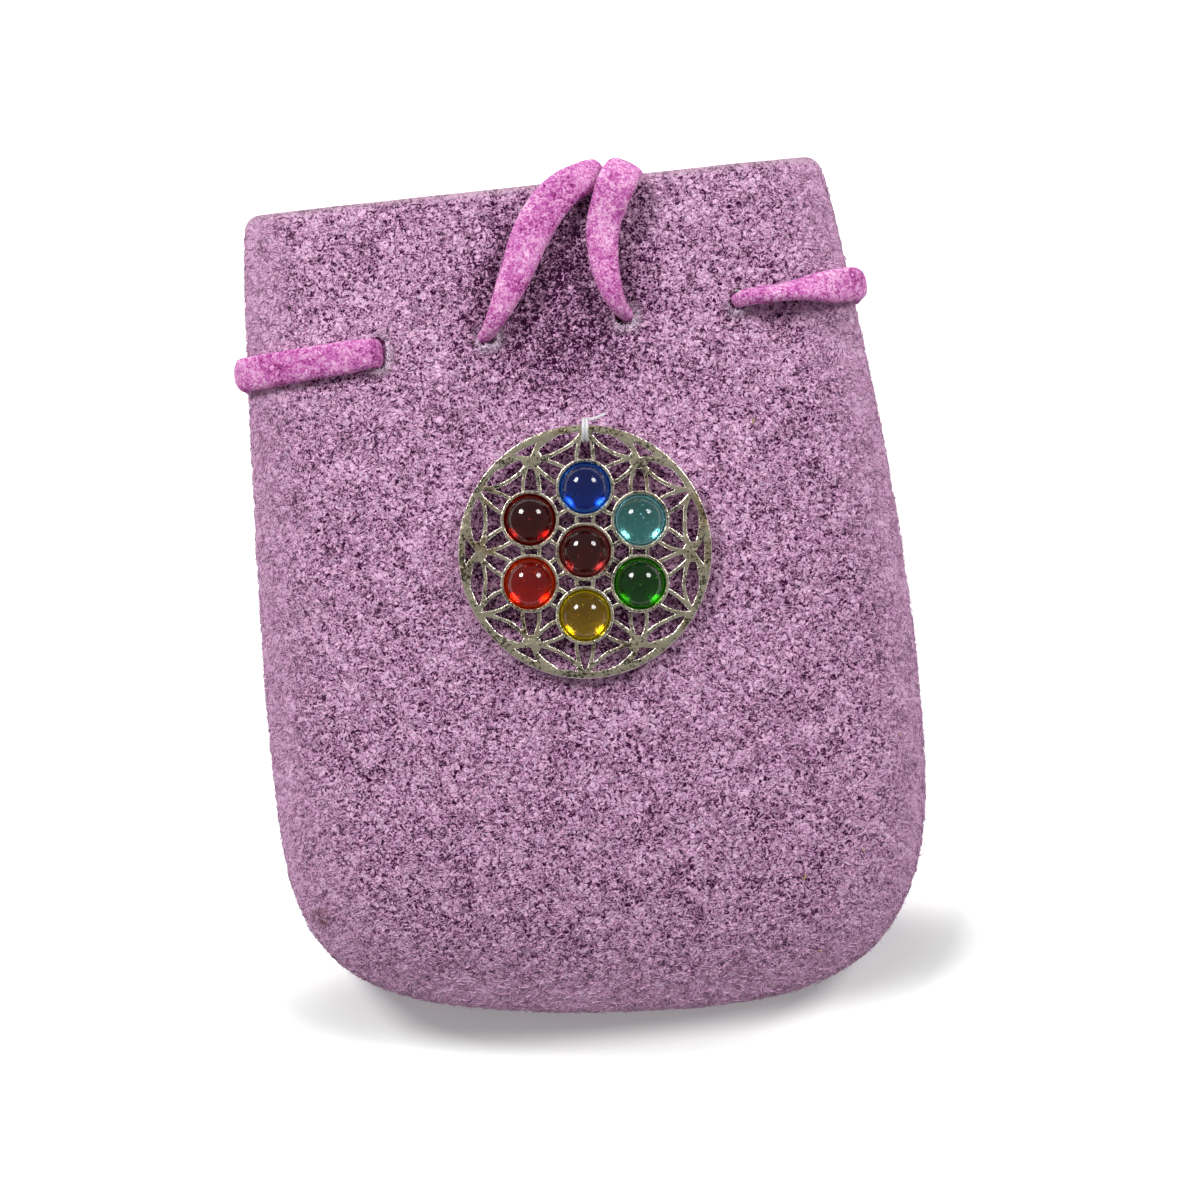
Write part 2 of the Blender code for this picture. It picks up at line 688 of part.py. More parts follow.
def build():
    clear_scene()
    parts, cutters = collection(MODEL_NAME), collection("cutters")

    suede = material("lilac_suede", (0.37, 0.20, 0.34), 0.95)
    back_suede = material("lilac_suede_back", (0.35, 0.19, 0.32), 0.95)
    lace_suede = material("orchid_lace", (0.58, 0.11, 0.48), 0.9)
    tail_suede = material("orchid_lace_tail", (0.58, 0.11, 0.48), 0.9)
    metal = material("antique_silver", (0.42, 0.38, 0.33), 0.38, 1.0)
    nylon = material("clear_nylon", (0.85, 0.86, 0.88), 0.15, 0.0, 0.8)

    front = panel("front_panel", 1, front_face, parts, suede)
    back = panel("back_panel", -1, back_face, parts, back_suede)
    front.data, back.data = baked(front), baked(back)
    for piece in (front, back):
        piece.modifiers.clear()
    boolean(front, slit_cutters("front_slits", front_face, cutters), "DIFFERENCE")
    boolean(back, slit_cutters("back_slits", back_face, cutters), "DIFFERENCE")
    boolean(front, needle_hole(cutters), "DIFFERENCE")
    for piece in (front, back):
        smooth(piece)

    smooth(held_lace(parts, lace_suede))
    lace_tail("lace_tail_left", TAIL_LEFT_ROUTE, parts, tail_suede)
    lace_tail("lace_tail_right", TAIL_RIGHT_ROUTE, parts, tail_suede)

    loop_pivot = empty_at("loop_pivot", Matrix.Translation(rim_top()), parts)
    loop = hanging_loop(parts, cutters, nylon)
    attach(loop, loop_pivot)

    pivot_place = Matrix.Translation(rim_top()) @ Matrix.Rotation(PENDANT_TURN, 4, "Z")
    pendant_pivot = empty_at("pendant_pivot", pivot_place, parts)
    attach(pendant_pivot, loop_pivot)
    attach(pendant(parts, cutters, metal), pendant_pivot)

    glass = {
        "garnet": ((0.10, 0.025, 0.03), (0, 0)),
        "blue": ((0.02, 0.04, 0.18), (0, 1)),
        "aqua": ((0.06, 0.17, 0.18), (math.sqrt(3) / 2, 0.5)),
        "green": ((0.02, 0.08, 0.01), (math.sqrt(3) / 2, -0.5)),
        "yellow": ((0.20, 0.12, 0.01), (0, -1)),
        "orange": ((0.25, 0.02, 0.005), (-math.sqrt(3) / 2, -0.5)),
        "red": ((0.07, 0.006, 0.005), (-math.sqrt(3) / 2, 0.5)),
    }
    for hue, (colour, place) in glass.items():
        finish = material(f"{hue}_glass", colour, 0.05, 0.0, 0.8)
        attach(cabochon(f"cabochon_{hue}", Vector(place) * LATTICE, parts, finish), pendant_pivot)
    bpy.context.view_layer.update()


build()
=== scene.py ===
# %% [markdown]
# A suede drawstring pouch with a cast pendant
# The pouch is two pieces of lilac split suede, sewn face to face and turned, with a flat lace through
# eight slits and a cast disc with seven glass stones hanging on the front. The plain solid model is
# loaded first, as a frame that never moves. Every cell after it builds or finishes one real thing.

# %% Load the frame
import math

import bpy
import numpy as np
from mathutils import Matrix, Vector, noise


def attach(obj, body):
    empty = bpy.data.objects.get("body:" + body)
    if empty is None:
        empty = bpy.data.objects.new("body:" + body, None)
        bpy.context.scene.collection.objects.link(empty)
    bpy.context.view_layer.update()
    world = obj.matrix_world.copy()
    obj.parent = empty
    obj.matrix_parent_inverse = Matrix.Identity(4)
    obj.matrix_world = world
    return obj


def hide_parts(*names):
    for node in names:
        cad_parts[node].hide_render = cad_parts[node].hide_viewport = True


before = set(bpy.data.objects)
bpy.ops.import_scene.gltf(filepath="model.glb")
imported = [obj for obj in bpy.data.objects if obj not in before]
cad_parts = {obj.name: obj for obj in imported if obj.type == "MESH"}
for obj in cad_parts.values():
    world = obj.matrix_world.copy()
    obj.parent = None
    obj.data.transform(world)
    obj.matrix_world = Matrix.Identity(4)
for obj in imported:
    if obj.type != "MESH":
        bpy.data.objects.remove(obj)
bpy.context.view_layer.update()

MM = 0.001

# %% [markdown]
# Where the camera stands
# The pouch is photographed from straight above, turned about six degrees, with a long lens that keeps
# its sides parallel. A camera's width of view is the sensor's width times distance over focal length,
# so the distance comes from the scale: one pixel of a 1200 pixel picture is 0.12 mm on the pouch.

# %% Camera
PIXEL = 0.12 * MM
PICTURE = 1200
CAMERA_TURN = math.radians(-6.1)
PICTURE_MIDDLE = Vector((2.12 * MM, -0.2 * MM))
FRONT_HEIGHT = 12 * MM
LENS = 100.0
SENSOR = 36.0


def picture_place(across, down):
    """A pixel of the picture as x and y on the pouch's front."""
    right = Vector((math.cos(CAMERA_TURN), math.sin(CAMERA_TURN)))
    up = Vector((-right.y, right.x))
    return PICTURE_MIDDLE + right * (across - PICTURE / 2) * PIXEL + up * (PICTURE / 2 - down) * PIXEL


lens = bpy.data.cameras.new("camera")
lens.lens = LENS
lens.sensor_width = SENSOR
lens.clip_start = 0.01
lens.clip_end = 10
camera = bpy.data.objects.new("camera", lens)
bpy.context.scene.collection.objects.link(camera)
camera.location = (*PICTURE_MIDDLE, FRONT_HEIGHT + PICTURE * PIXEL * LENS / SENSOR)
camera.rotation_euler = (0, 0, CAMERA_TURN)
bpy.context.scene.camera = camera
print("camera is", round(camera.location.z, 3), "m above the floor")

# %% [markdown]
# Helpers for nodes
# A material is a small graph. These helpers add a node with its values, and join two sockets, so that
# each finish below reads as a list of what it is made of. Colours are written as they look on a
# screen, from 0 to 255, and turned into the linear values that Blender calculates with.

# %% Node helpers
def linear(*shown):
    """A colour as it looks on screen, 0 to 255, as the linear red, green, blue and alpha."""
    parts = [c / 255 for c in shown]
    return (*(c / 12.92 if c <= 0.04045 else ((c + 0.055) / 1.055) ** 2.4 for c in parts), 1.0)


class Graph:
    """The nodes of one material or group."""

    def __init__(self, tree):
        self.tree = tree

    def add(self, kind, settings=None, **inputs):
        """Adds a node. An input is a number or colour, or the socket that feeds it."""
        made = self.tree.nodes.new("ShaderNode" + kind)
        for name, value in (settings or {}).items():
            setattr(made, name, value)
        for name, value in inputs.items():
            socket = made.inputs[int(name[1:]) if name[1:].isdigit() else name.replace("_", " ")]
            if isinstance(value, bpy.types.NodeSocket):
                self.tree.links.new(value, socket)
            else:
                socket.default_value = value
        return made

    def maths(self, operation, a, b=0.0):
        return self.add("Math", {"operation": operation}, i0=a, i1=b).outputs[0]

    def vectors(self, operation, a, b=(0, 0, 0)):
        """Vector maths, which gives a number where it measures a length or a distance."""
        made = self.add("VectorMath", {"operation": operation}, i0=a, i1=b)
        return made.outputs["Value" if operation in ("LENGTH", "DISTANCE") else "Vector"]

    def blend(self, share, a, b):
        return self.add("Mix", {"data_type": "FLOAT"}, i0=share, i2=a, i3=b).outputs[0]

    def tint(self, share, a, b, way="MIX"):
        """Mixes two colours."""
        return self.add("Mix", {"data_type": "RGBA", "blend_type": way}, i0=share, i6=a, i7=b).outputs[2]

    def remap(self, value, low, high, to_low=0.0, to_high=1.0):
        """A smooth step from to_low, where value is low, to to_high, where it is high."""
        step = self.add("MapRange", {"interpolation_type": "SMOOTHSTEP"}, i0=value, i1=low, i2=high)
        step.inputs[3].default_value = to_low
        step.inputs[4].default_value = to_high
        return step.outputs[0]

    def noise(self, place, scale, detail=2.0, roughness=0.5, distortion=0.0):
        settings = {"Scale": scale, "Detail": detail, "Roughness": roughness, "Distortion": distortion}
        return self.add("TexNoise", Vector=place, **settings).outputs[0]

    def ramp(self, value, *stops):
        """A row of colours, each at its place from 0 to 1."""
        made = self.add("ValToRGB", i0=value)
        row = made.color_ramp.elements
        while len(row) < len(stops):
            row.new(0.5)
        for element, (place, colour) in zip(row, stops):
            element.position = place
            element.color = colour
        return made.outputs[0]

    def millimetres(self):
        """The place on the piece, in millimetres."""
        place = self.add("TexCoord").outputs["Object"]
        return self.add("VectorMath", {"operation": "SCALE"}, i0=place, Scale=1 / MM).outputs[0]

    def attribute(self, name):
        return self.add("Attribute", {"attribute_name": name}).outputs["Fac"]

    def bump(self, height, depth):
        """The normal of a relief of that depth."""
        return self.add("Bump", Height=height, Distance=depth, Strength=1.0).outputs[0]

    def feed(self, sockets, **values):
        """Joins each value to the socket of its name."""
        for name, value in values.items():
            self.tree.links.new(value, sockets[name.replace("_", " ")])


print("white is", linear(255, 255, 255))

# %% [markdown]
# New materials and groups
# A material starts with one Principled shader, whose plain values are set right away. A group is a
# small graph with named inputs and outputs, which several materials can share with their own values.

# %% New materials and groups
def new_material(name, **constants):
    """A material with a Principled shader, and its graph."""
    made = bpy.data.materials.new(name)
    made.use_nodes = True
    shader = made.node_tree.nodes["Principled BSDF"]
    for socket, value in constants.items():
        shader.inputs[socket.replace("_", " ")].default_value = value
    return made, Graph(made.node_tree), shader


def new_group(name, inputs, outputs):
    """An empty shader group with its sockets, its graph, and its two ends."""
    tree = bpy.data.node_groups.new(name, "ShaderNodeTree")
    for socket, (kind, value) in inputs.items():
        made = tree.interface.new_socket(socket, in_out="INPUT", socket_type="NodeSocket" + kind)
        if value is not None:
            made.default_value = value
    for socket, kind in outputs.items():
        tree.interface.new_socket(socket, in_out="OUTPUT", socket_type="NodeSocket" + kind)
    graph = Graph(tree)
    return tree, graph, tree.nodes.new("NodeGroupInput").outputs, tree.nodes.new("NodeGroupOutput").inputs


print("node groups so far:", len(bpy.data.node_groups))

# %% [markdown]
# Helpers for meshes
# Operators act on whatever is selected, so a step starts by deselecting everything. A piece often
# starts as a flat grid whose points are then laid on a surface, as cloth is laid on a pattern.

# %% Mesh helpers
def select_only(*pieces):
    """Leaves edit mode, and makes these the only selected objects, the first one active."""
    if bpy.context.object and bpy.context.object.mode != "OBJECT":
        bpy.ops.object.mode_set(mode="OBJECT")
    bpy.ops.object.select_all(action="DESELECT")
    for piece in pieces:
        piece.select_set(True)
    bpy.context.view_layer.objects.active = pieces[0] if pieces else None


def named(name):
    """Names the object that an operator has just made."""
    piece = bpy.context.object
    piece.name = piece.data.name = name
    return piece


def points_of(mesh):
    found = np.empty(len(mesh.vertices) * 3)
    mesh.vertices.foreach_get("co", found)
    return found.reshape(-1, 3)


def place_points(mesh, points):
    mesh.vertices.foreach_set("co", np.asarray(points, dtype=np.float32).ravel())
    mesh.update()


def give_value(mesh, name, values):
    """Keeps one number for each vertex, which a material can read."""
    store = mesh.attributes.new(name, "FLOAT", "POINT")
    store.data.foreach_set("value", np.asarray(values, dtype=np.float32))


def values_of(mesh, name):
    found = np.empty(len(mesh.vertices))
    mesh.attributes[name].data.foreach_get("value", found)
    return found


def start_grid(name, columns, rows):
    """A flat grid as the start of a piece, with the column and the row of each of its points."""
    select_only()
    bpy.ops.mesh.primitive_grid_add(x_subdivisions=columns, y_subdivisions=rows, size=1)
    piece = named(name)
    flat = points_of(piece.data)
    column = np.rint((flat[:, 0] + 0.5) * columns).astype(int)
    row = np.rint((0.5 - flat[:, 1]) * rows).astype(int)
    return piece, column, row


# %% [markdown]
# Helpers that finish a piece
# Modifiers are applied as soon as they are set. The last helper gives a piece its material and the body
# that it moves with, and says which plain solids it takes the place of.

# %% Finishing helpers
def apply_modifier(piece, kind, **settings):
    select_only(piece)
    step = piece.modifiers.new(kind.title(), kind)
    for name, value in settings.items():
        setattr(step, name, value)
    bpy.ops.object.modifier_apply(modifier=step.name)


def ripple(piece, feature, depth, group=""):
    """Pushes the surface in and out by a cloudy pattern, as soft skin does."""
    cloud = bpy.data.textures.new(piece.name + "_ripple", "CLOUDS")
    cloud.noise_scale = feature
    settings = {"texture": cloud, "texture_coords": "LOCAL", "strength": depth, "vertex_group": group}
    apply_modifier(piece, "DISPLACE", mid_level=0.5, **settings)


def tidy_mesh(piece, close=False):
    """Welds doubled points, closes open ends where asked, and turns every face outwards."""
    select_only(piece)
    bpy.ops.object.mode_set(mode="EDIT")
    bpy.ops.mesh.select_all(action="SELECT")
    bpy.ops.mesh.remove_doubles(threshold=0.001 * MM)
    if close:
        bpy.ops.mesh.select_all(action="DESELECT")
        bpy.ops.mesh.select_non_manifold()
        bpy.ops.mesh.fill_holes(sides=0)
        bpy.ops.mesh.select_all(action="SELECT")
    bpy.ops.mesh.normals_make_consistent(inside=False)
    bpy.ops.object.mode_set(mode="OBJECT")


def smooth(piece, angle=40):
    select_only(piece)
    bpy.ops.object.shade_smooth_by_angle(angle=math.radians(angle))


def finish_piece(piece, body, material, slot, *stands_for):
    """Gives the piece its finish, the body that it rides on and the solids that it stands for."""
    piece.data.materials.clear()
    piece.data.materials.append(material)
    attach(piece, body)
    if stands_for:
        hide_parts(*stands_for)
    triangles = sum(len(face.vertices) - 2 for face in piece.data.polygons)
    print(piece.name, "has", triangles, "triangles")


print("finishing helpers ready")

# %% [markdown]
# The pouch's shape
# The outline widens from the mouth to the belly along a quarter sine on each side, and its bottom is
# a tilted arch with round corners. These few sizes and formulas are the ones that the solids were
# made with, so the finished skin lies where they do. A depth is measured from the mouth's edge.

# %% Outline of the pouch
LEFT_SIDE = (36.1 * MM, 39.6 * MM, 75.0 * MM)
RIGHT_SIDE = (34.4 * MM, 39.6 * MM, 63.0 * MM)
POUCH_LENGTH = 100.7 * MM
MOUTH_Y = 50.5 * MM
BOTTOM_TILT = 0.075
BOTTOM_ARCH = 4.9 * MM
CORNER_POWERS = (6.5, 4.6)
MIDDLE_DEPTH = 50.0 * MM
WALL = 1.0 * MM
SEAM_HEIGHT = 5.6 * MM
SEAM_FOLD = 1.3 * MM
SEAM_GAP = 0.04 * MM
SEAM_REST = 0.15 * MM
SEAM_ALLOWANCE = 4.0 * MM
FOLD_END = math.radians(60)
FOLD_INSET = SEAM_FOLD * (1 - math.cos(FOLD_END))
FOLD_RISE = SEAM_REST + SEAM_FOLD * (1 + math.sin(FOLD_END))
BELLY_TOP = 14.0 * MM
MOUTH_DROP = 4.6 * MM
BACK_LIFT = 2.3 * MM
BACK_LIFT_DEPTHS = (40.0 * MM, 25.0 * MM)
CROWN_POWER = 5
FLAT_SHARE = 0.25 * MM


def half_width(x, depth):
    mouth, belly, belly_depth = LEFT_SIDE if x < 0 else RIGHT_SIDE
    share = min(max(depth / belly_depth, 0.0), 1.0)
    return mouth + (belly - mouth) * math.sin(math.pi / 2 * share)


def bottom_depth(x):
    return POUCH_LENGTH + BOTTOM_TILT * x - BOTTOM_ARCH * (x / half_width(x, POUCH_LENGTH)) ** 2


def panel_point(u, w):
    """x and depth for a square of u from -1 to 1 and w from -1, the mouth, to 1, the bottom."""
    if w <= 0:
        depth = MIDDLE_DEPTH * (1 + w)
        return u * (half_width(u, depth) - FOLD_INSET), depth
    power = CORNER_POWERS[int(u >= 0)]
    reach = max(abs(u), w)
    drawn_in = ((abs(u) / reach) ** power + (w / reach) ** power) ** (-1 / power)
    down = w * drawn_in
    x = u * drawn_in * (half_width(u, MIDDLE_DEPTH + down * (POUCH_LENGTH - MIDDLE_DEPTH)) - FOLD_INSET)
    return x, MIDDLE_DEPTH + down * (bottom_depth(x) - FOLD_INSET - MIDDLE_DEPTH)


def edge_share(x, depth):
    """0 in the middle of the panel and 1 where the seam's fold begins."""
    across = abs(x) / (half_width(x, depth) - FOLD_INSET)
    if depth <= MIDDLE_DEPTH:
        return min(across, 1.0)
    down = (depth - MIDDLE_DEPTH) / (bottom_depth(x) - FOLD_INSET - MIDDLE_DEPTH)
    power = CORNER_POWERS[int(x >= 0)]
    return min((across**power + down**power) ** (1 / power), 1.0)


print("pouch is", round(2 * LEFT_SIDE[1] / MM, 1), "mm wide at the belly")

# %% [markdown]
# How high the two faces lie
# The front is flat over the belly and sinks towards the mouth. The back is flat on the table, and the
# lace lifts it near the mouth. Both fall in a crown to the seam's fold at the sides and the bottom.

# %% Heights of the two faces
def front_face(x, depth):
    """Height of the front: flat over the belly, and lower towards the mouth."""
    up = max(MIDDLE_DEPTH - depth, 0.0) / MIDDLE_DEPTH
    top = BELLY_TOP - MOUTH_DROP * up**1.5
    fold = SEAM_HEIGHT + FOLD_RISE
    return min(top, fold + (top + FLAT_SHARE - fold) * (1 - edge_share(x, depth) ** CROWN_POWER))


def back_face(x, depth):
    """Height of the back: flat on the table, and lifted by the lace near the mouth."""
    deep, shallow = BACK_LIFT_DEPTHS
    share = min(max((deep - depth) / (deep - shallow), 0.0), 1.0)
    low = BACK_LIFT * share * share * (3 - 2 * share)
    fold = SEAM_HEIGHT - FOLD_RISE
    return max(low, fold + (low - FLAT_SHARE - fold) * (1 - edge_share(x, depth) ** CROWN_POWER))


print("the middle is", round((front_face(0, MIDDLE_DEPTH) - back_face(0, MIDDLE_DEPTH)) / MM, 1), "mm deep")

# %% [markdown]
# Floor and light
# Two round lamps stand off to the upper left and upper right, 53 degrees from overhead, which is where
# the pairs of small highlights on the glass stones say they are. The sky gives the rest. Lamps and sky
# together light a white floor to about white, so a colour comes out as it is written. The floor keeps
# the shadow. It also glows for the camera, and less so in an oval by the pouch's bottom, because the
# photograph has its one deep shadow there.

# %% Floor, lamps and sky
SKY = 0.3
LAMP_WATTS = (4.05, 2.85)
LAMP_DISTANCE = 0.8
LAMP_WIDTH = 0.26
LAMP_TILT = math.radians(53)
LAMP_SIDE = math.radians(46)
FLOOR_GLOW = 0.62
SHADE_MIDDLE = (2 * MM, -47 * MM)
SHADE_HALF = (46 * MM, 7.4 * MM)
SHADE_EDGE = (0.7, 1.25)
SHADE_GLOW = 0.08

select_only()
bpy.ops.mesh.primitive_plane_add(size=6, location=(0, 0, 0))
floor = named("floor")
floor_finish, graph, shader = new_material(
    "white_floor", Base_Color=linear(252, 252, 252), Roughness=0.9, Specular_IOR_Level=0.0,
    Emission_Color=(1, 1, 1, 1),
)
path = graph.add("LightPath").outputs
seen = graph.maths("MAXIMUM", path["Is Camera Ray"], path["Is Glossy Ray"])
seen = graph.maths("MAXIMUM", seen, path["Is Transmission Ray"])
off = graph.vectors("SUBTRACT", graph.add("TexCoord").outputs["Object"], (*SHADE_MIDDLE, 0))
off = graph.vectors("MULTIPLY", off, (1 / SHADE_HALF[0], 1 / SHADE_HALF[1], 0))
glow = graph.remap(graph.vectors("LENGTH", off), *SHADE_EDGE, SHADE_GLOW, FLOOR_GLOW)
graph.feed(shader.inputs, Emission_Strength=graph.maths("MULTIPLY", seen, glow))
floor.data.materials.append(floor_finish)

for side, watts in zip((-1, 1), LAMP_WATTS):
    lamp = bpy.data.lights.new("lamp", "AREA")
    lamp.shape = "DISK"
    lamp.size = LAMP_WIDTH
    lamp.energy = watts
    stand = bpy.data.objects.new("lamp", lamp)
    bpy.context.scene.collection.objects.link(stand)
    turn = side * LAMP_SIDE - CAMERA_TURN
    off_top = math.sin(LAMP_TILT)
    way = Vector((math.sin(turn) * off_top, math.cos(turn) * off_top, math.cos(LAMP_TILT)))
    stand.location = way * LAMP_DISTANCE
    stand.rotation_euler = way.to_track_quat("Z", "Y").to_euler()

sky = bpy.data.worlds.new("sky")
bpy.context.scene.world = sky
sky.use_nodes = True
backdrop = sky.node_tree.nodes["Background"]
backdrop.inputs["Color"].default_value = (1, 1, 1, 1)
backdrop.inputs["Strength"].default_value = SKY
bpy.context.scene.view_settings.view_transform = "Standard"
print("two lamps and the sky are set")

# %% [markdown]
# The suede's nap
# Split suede shows a felt of short fibres: light tips over dark purple gaps, in clumps under half a
# millimetre wide. A noise that is bent by its own distortion draws such worm-like clumps, and a finer
# one adds single fibres. One group makes the pattern, and the skin, its raised fibres and the lace all
# use it, each with its own scale and colours.

# %% Group: nap pattern
nap_group, graph, given, out = new_group(
    "nap_pattern",
    {"Place": ("Vector", None), "Clump Scale": ("Float", 2.0), "Mottle": ("Float", 0.1)},
    {"Height": "Float", "Warmth": "Float"},
)
clumps = graph.noise(given["Place"], given["Clump Scale"], 2, 0.55, 1.1)
fibres = graph.noise(given["Place"], graph.maths("MULTIPLY", given["Clump Scale"], 2.1), 2, 0.6, 0.6)
patches = graph.noise(given["Place"], 0.3, 1)
pattern = graph.blend(given["Mottle"], graph.blend(0.36, clumps, fibres), patches)
graph.feed(out, Height=pattern, Warmth=graph.noise(given["Place"], 1.7, 2, 0.6))
print("nap pattern group has", len(nap_group.nodes), "nodes")

# %% [markdown]
# Lilac suede
# The skin's colour runs from painted shade in the gaps through lilac to pale tips, and each patch of
# fibres is a little pinker or greyer than the next. Worn rims of the slits and the raw cut edge of the
# mouth are paler. Shade is painted on the nap by the tails and under the pendant, and light is painted
# along the border, where the nap is paler and flatter. A small brown stain sits at the lower left
# corner, as in the photograph.

# %% Suede finishes
# Painted shade: the dark that the nap's gaps get by their low relief.
GAP_PAINTED_SHADE = linear(54, 0, 48)
NAP_LILAC = linear(190, 132, 177)
NAP_TIP = linear(252, 210, 240)
NAP_GREY = linear(186, 166, 198)
WORN_PALE = linear(250, 232, 248)
CUT_EDGE = linear(206, 172, 192)
# Painted light: the paler tint along the panel's border.
BORDER_PAINTED_LIGHT = linear(222, 182, 212)
STAIN_BROWN = linear(150, 104, 84)
STAIN_PLACE = picture_place(318, 921) / MM
STAIN_SIZE = 1.7
# Painted shade: a round patch of darker nap by the two tails.
TAIL_SHADE_PLACE = picture_place(560, 290) / MM
TAIL_SHADE_SIZE = 17.0
TAIL_SHADE_DROP = 0.055
# Painted shade: a round patch of darker nap under the pendant.
PENDANT_SHADE_PLACE = picture_place(584, 551) / MM
PENDANT_SHADE_SIZE = 15.5
PENDANT_SHADE_DROP = 0.03
# Painted light: the even nap level that the border is drawn towards.
BORDER_LEVEL = 0.515


def distance_from(graph, place, middle):
    """How far a place is from a point of the front, in millimetres, seen from above."""
    return graph.vectors("DISTANCE", graph.vectors("MULTIPLY", place, (1, 1, 0)), (*middle, 0))


def suede_colour(graph, place, height, warmth, stops, worn):
    """Colours for a nap pattern: its three stops, then greyer patches, wear, the cut edge and the stain."""
    # The ramp follows the nap's relief, so the dark of its gaps is painted shade.
    colour = graph.ramp(height, *zip(stops, (GAP_PAINTED_SHADE, NAP_LILAC, NAP_TIP)))
    grey = graph.maths("MULTIPLY", graph.remap(warmth, 0.45, 0.62), graph.remap(height, 0.46, 0.6, 0.0, 0.5))
    colour = graph.tint(grey, colour, NAP_GREY)
    colour = graph.tint(worn, colour, WORN_PALE)
    stained = graph.remap(distance_from(graph, place, STAIN_PLACE), STAIN_SIZE, 0.4 * STAIN_SIZE)
    stained = graph.maths("MULTIPLY", stained, graph.remap(warmth, 0.35, 0.6, 0.2, 0.9))
    return graph.tint(stained, colour, STAIN_BROWN, "MULTIPLY")


def suede(name, stops, relief):
    made, graph, shader = new_material(
        name, Roughness=0.95, Sheen_Weight=0.12, Sheen_Roughness=0.5, Sheen_Tint=linear(236, 210, 232),
        Specular_IOR_Level=0.12,
    )
    place = graph.millimetres()
    nap = graph.add("Group", {"node_tree": nap_group}, Place=place, Clump_Scale=2.0).outputs
    # Painted shade by the tails: taken off the nap's height, so only its colour darkens.
    tail_shade = distance_from(graph, place, TAIL_SHADE_PLACE)
    tail_shade = graph.remap(tail_shade, TAIL_SHADE_SIZE, 0.35 * TAIL_SHADE_SIZE, 0.0, TAIL_SHADE_DROP)
    # Painted shade under the pendant, taken off the nap's height so that its colour darkens.
    pendant_shade = distance_from(graph, place, PENDANT_SHADE_PLACE)
    pendant_shade = graph.remap(pendant_shade, PENDANT_SHADE_SIZE, 0.8 * PENDANT_SHADE_SIZE, 0.0, PENDANT_SHADE_DROP)
    border = graph.attribute("border")
    height = graph.maths("SUBTRACT", nap["Height"], graph.maths("ADD", tail_shade, pendant_shade))
    # Painted light along the border: the nap is drawn to an even level and its colour tinted paler.
    height = graph.blend(graph.maths("MULTIPLY", border, 0.5), height, BORDER_LEVEL)
    worn = graph.maths("MULTIPLY", graph.attribute("wear"), graph.remap(nap["Height"], 0.4, 0.52, 0.4, 1.0))
    colour = suede_colour(graph, place, height, nap["Warmth"], stops, worn)
    colour = graph.tint(graph.maths("MULTIPLY", border, 0.3), colour, BORDER_PAINTED_LIGHT)
    cut = graph.maths("MULTIPLY", graph.attribute("cut"), graph.remap(nap["Height"], 0.4, 0.55, 0.5, 1.0))
    colour = graph.tint(cut, colour, CUT_EDGE)
    graph.feed(shader.inputs, Base_Color=colour, Normal=graph.bump(nap["Height"], relief))
    return made


print("the stain is at", [round(v, 1) for v in STAIN_PLACE], "mm")

# %% [markdown]
# Skin and tips
# The skin and the raised fibres share one finish. The fibres are the tips of the nap. Their stops lie
# lower on the pattern, which paints them lighter than the skin, as painted light, and their own relief
# is shallow.

# %% Skin and raised fibres
SKIN_STOPS = (0.435, 0.487, 0.585)
# Painted light: lower stops make the raised fibres lighter than the skin under them.
TIP_STOPS_PAINTED_LIGHT = (0.38, 0.457, 0.565)
skin_finish = suede("lilac_suede", SKIN_STOPS, 0.24 * MM)
nap_finish = suede("lilac_nap", TIP_STOPS_PAINTED_LIGHT, 0.1 * MM)
print("suede finishes ready")

# %% [markdown]
# Where the lace goes through
# Four slits in each panel let the lace in and out. In the photograph they are snug and oval, with a
# frayed pale rim, so each slit here is a rounded slot a little larger than the lace that crosses it.

# %% Slits
SLIT_X = (-21.25 * MM, -7.95 * MM, 8.65 * MM, 22.45 * MM)
LACE_DEPTH = 17.5 * MM
LACE_SLOPE = 0.042
LACE_WIDTH = 4.0 * MM
LACE_THICKNESS = 1.6 * MM
FRONT_HALVES = ((1.1, 2.0), (1.15, 1.2), (1.15, 1.2), (1.1, 1.4))
BACK_HALF = (1.3, 2.15)
SLOT_POWER = 3.0


def lace_y(x):
    return MOUTH_Y - LACE_DEPTH + LACE_SLOPE * x


def slot_reach(points, slots):
    """Below 1 inside the nearest slot and 1 on its rim, with the middle of that slot."""
    nearest = np.full(len(points), 1e9)
    middle = np.zeros((len(points), 2))
    for x, y, half_x, half_y in slots:
        off = np.abs(points[:, :2] - (x, y)) / (half_x, half_y)
        reach = (off**SLOT_POWER).sum(1) ** (1 / SLOT_POWER)
        closer = reach < nearest
        nearest[closer] = reach[closer]
        middle[closer] = (x, y)
    return nearest, middle


front_slots = [(x, lace_y(x), *(v * MM for v in half)) for x, half in zip(SLIT_X, FRONT_HALVES)]
back_slots = [(x, lace_y(x), *(v * MM for v in BACK_HALF)) for x in SLIT_X]
print("slits at", [round(x / MM, 1) for x in SLIT_X])

# %% [markdown]
# The two panels
# A panel is a fine grid laid on the pouch's face, round the fold at its edge and back along the seam
# allowance. The slits are opened by deleting the faces inside them, and their rims are drawn out to
# the slot's outline. Two soft ripples take away the machined look, and Solidify gives the hide its wall.

# %% Panel builder
FOLD_STEPS = 7


def spaced(count, ease):
    """Places from 0 to 1, closer together near 1."""
    return [(1 - ease) * i / count + ease * math.sin(math.pi / 2 * i / count) for i in range(count + 1)]


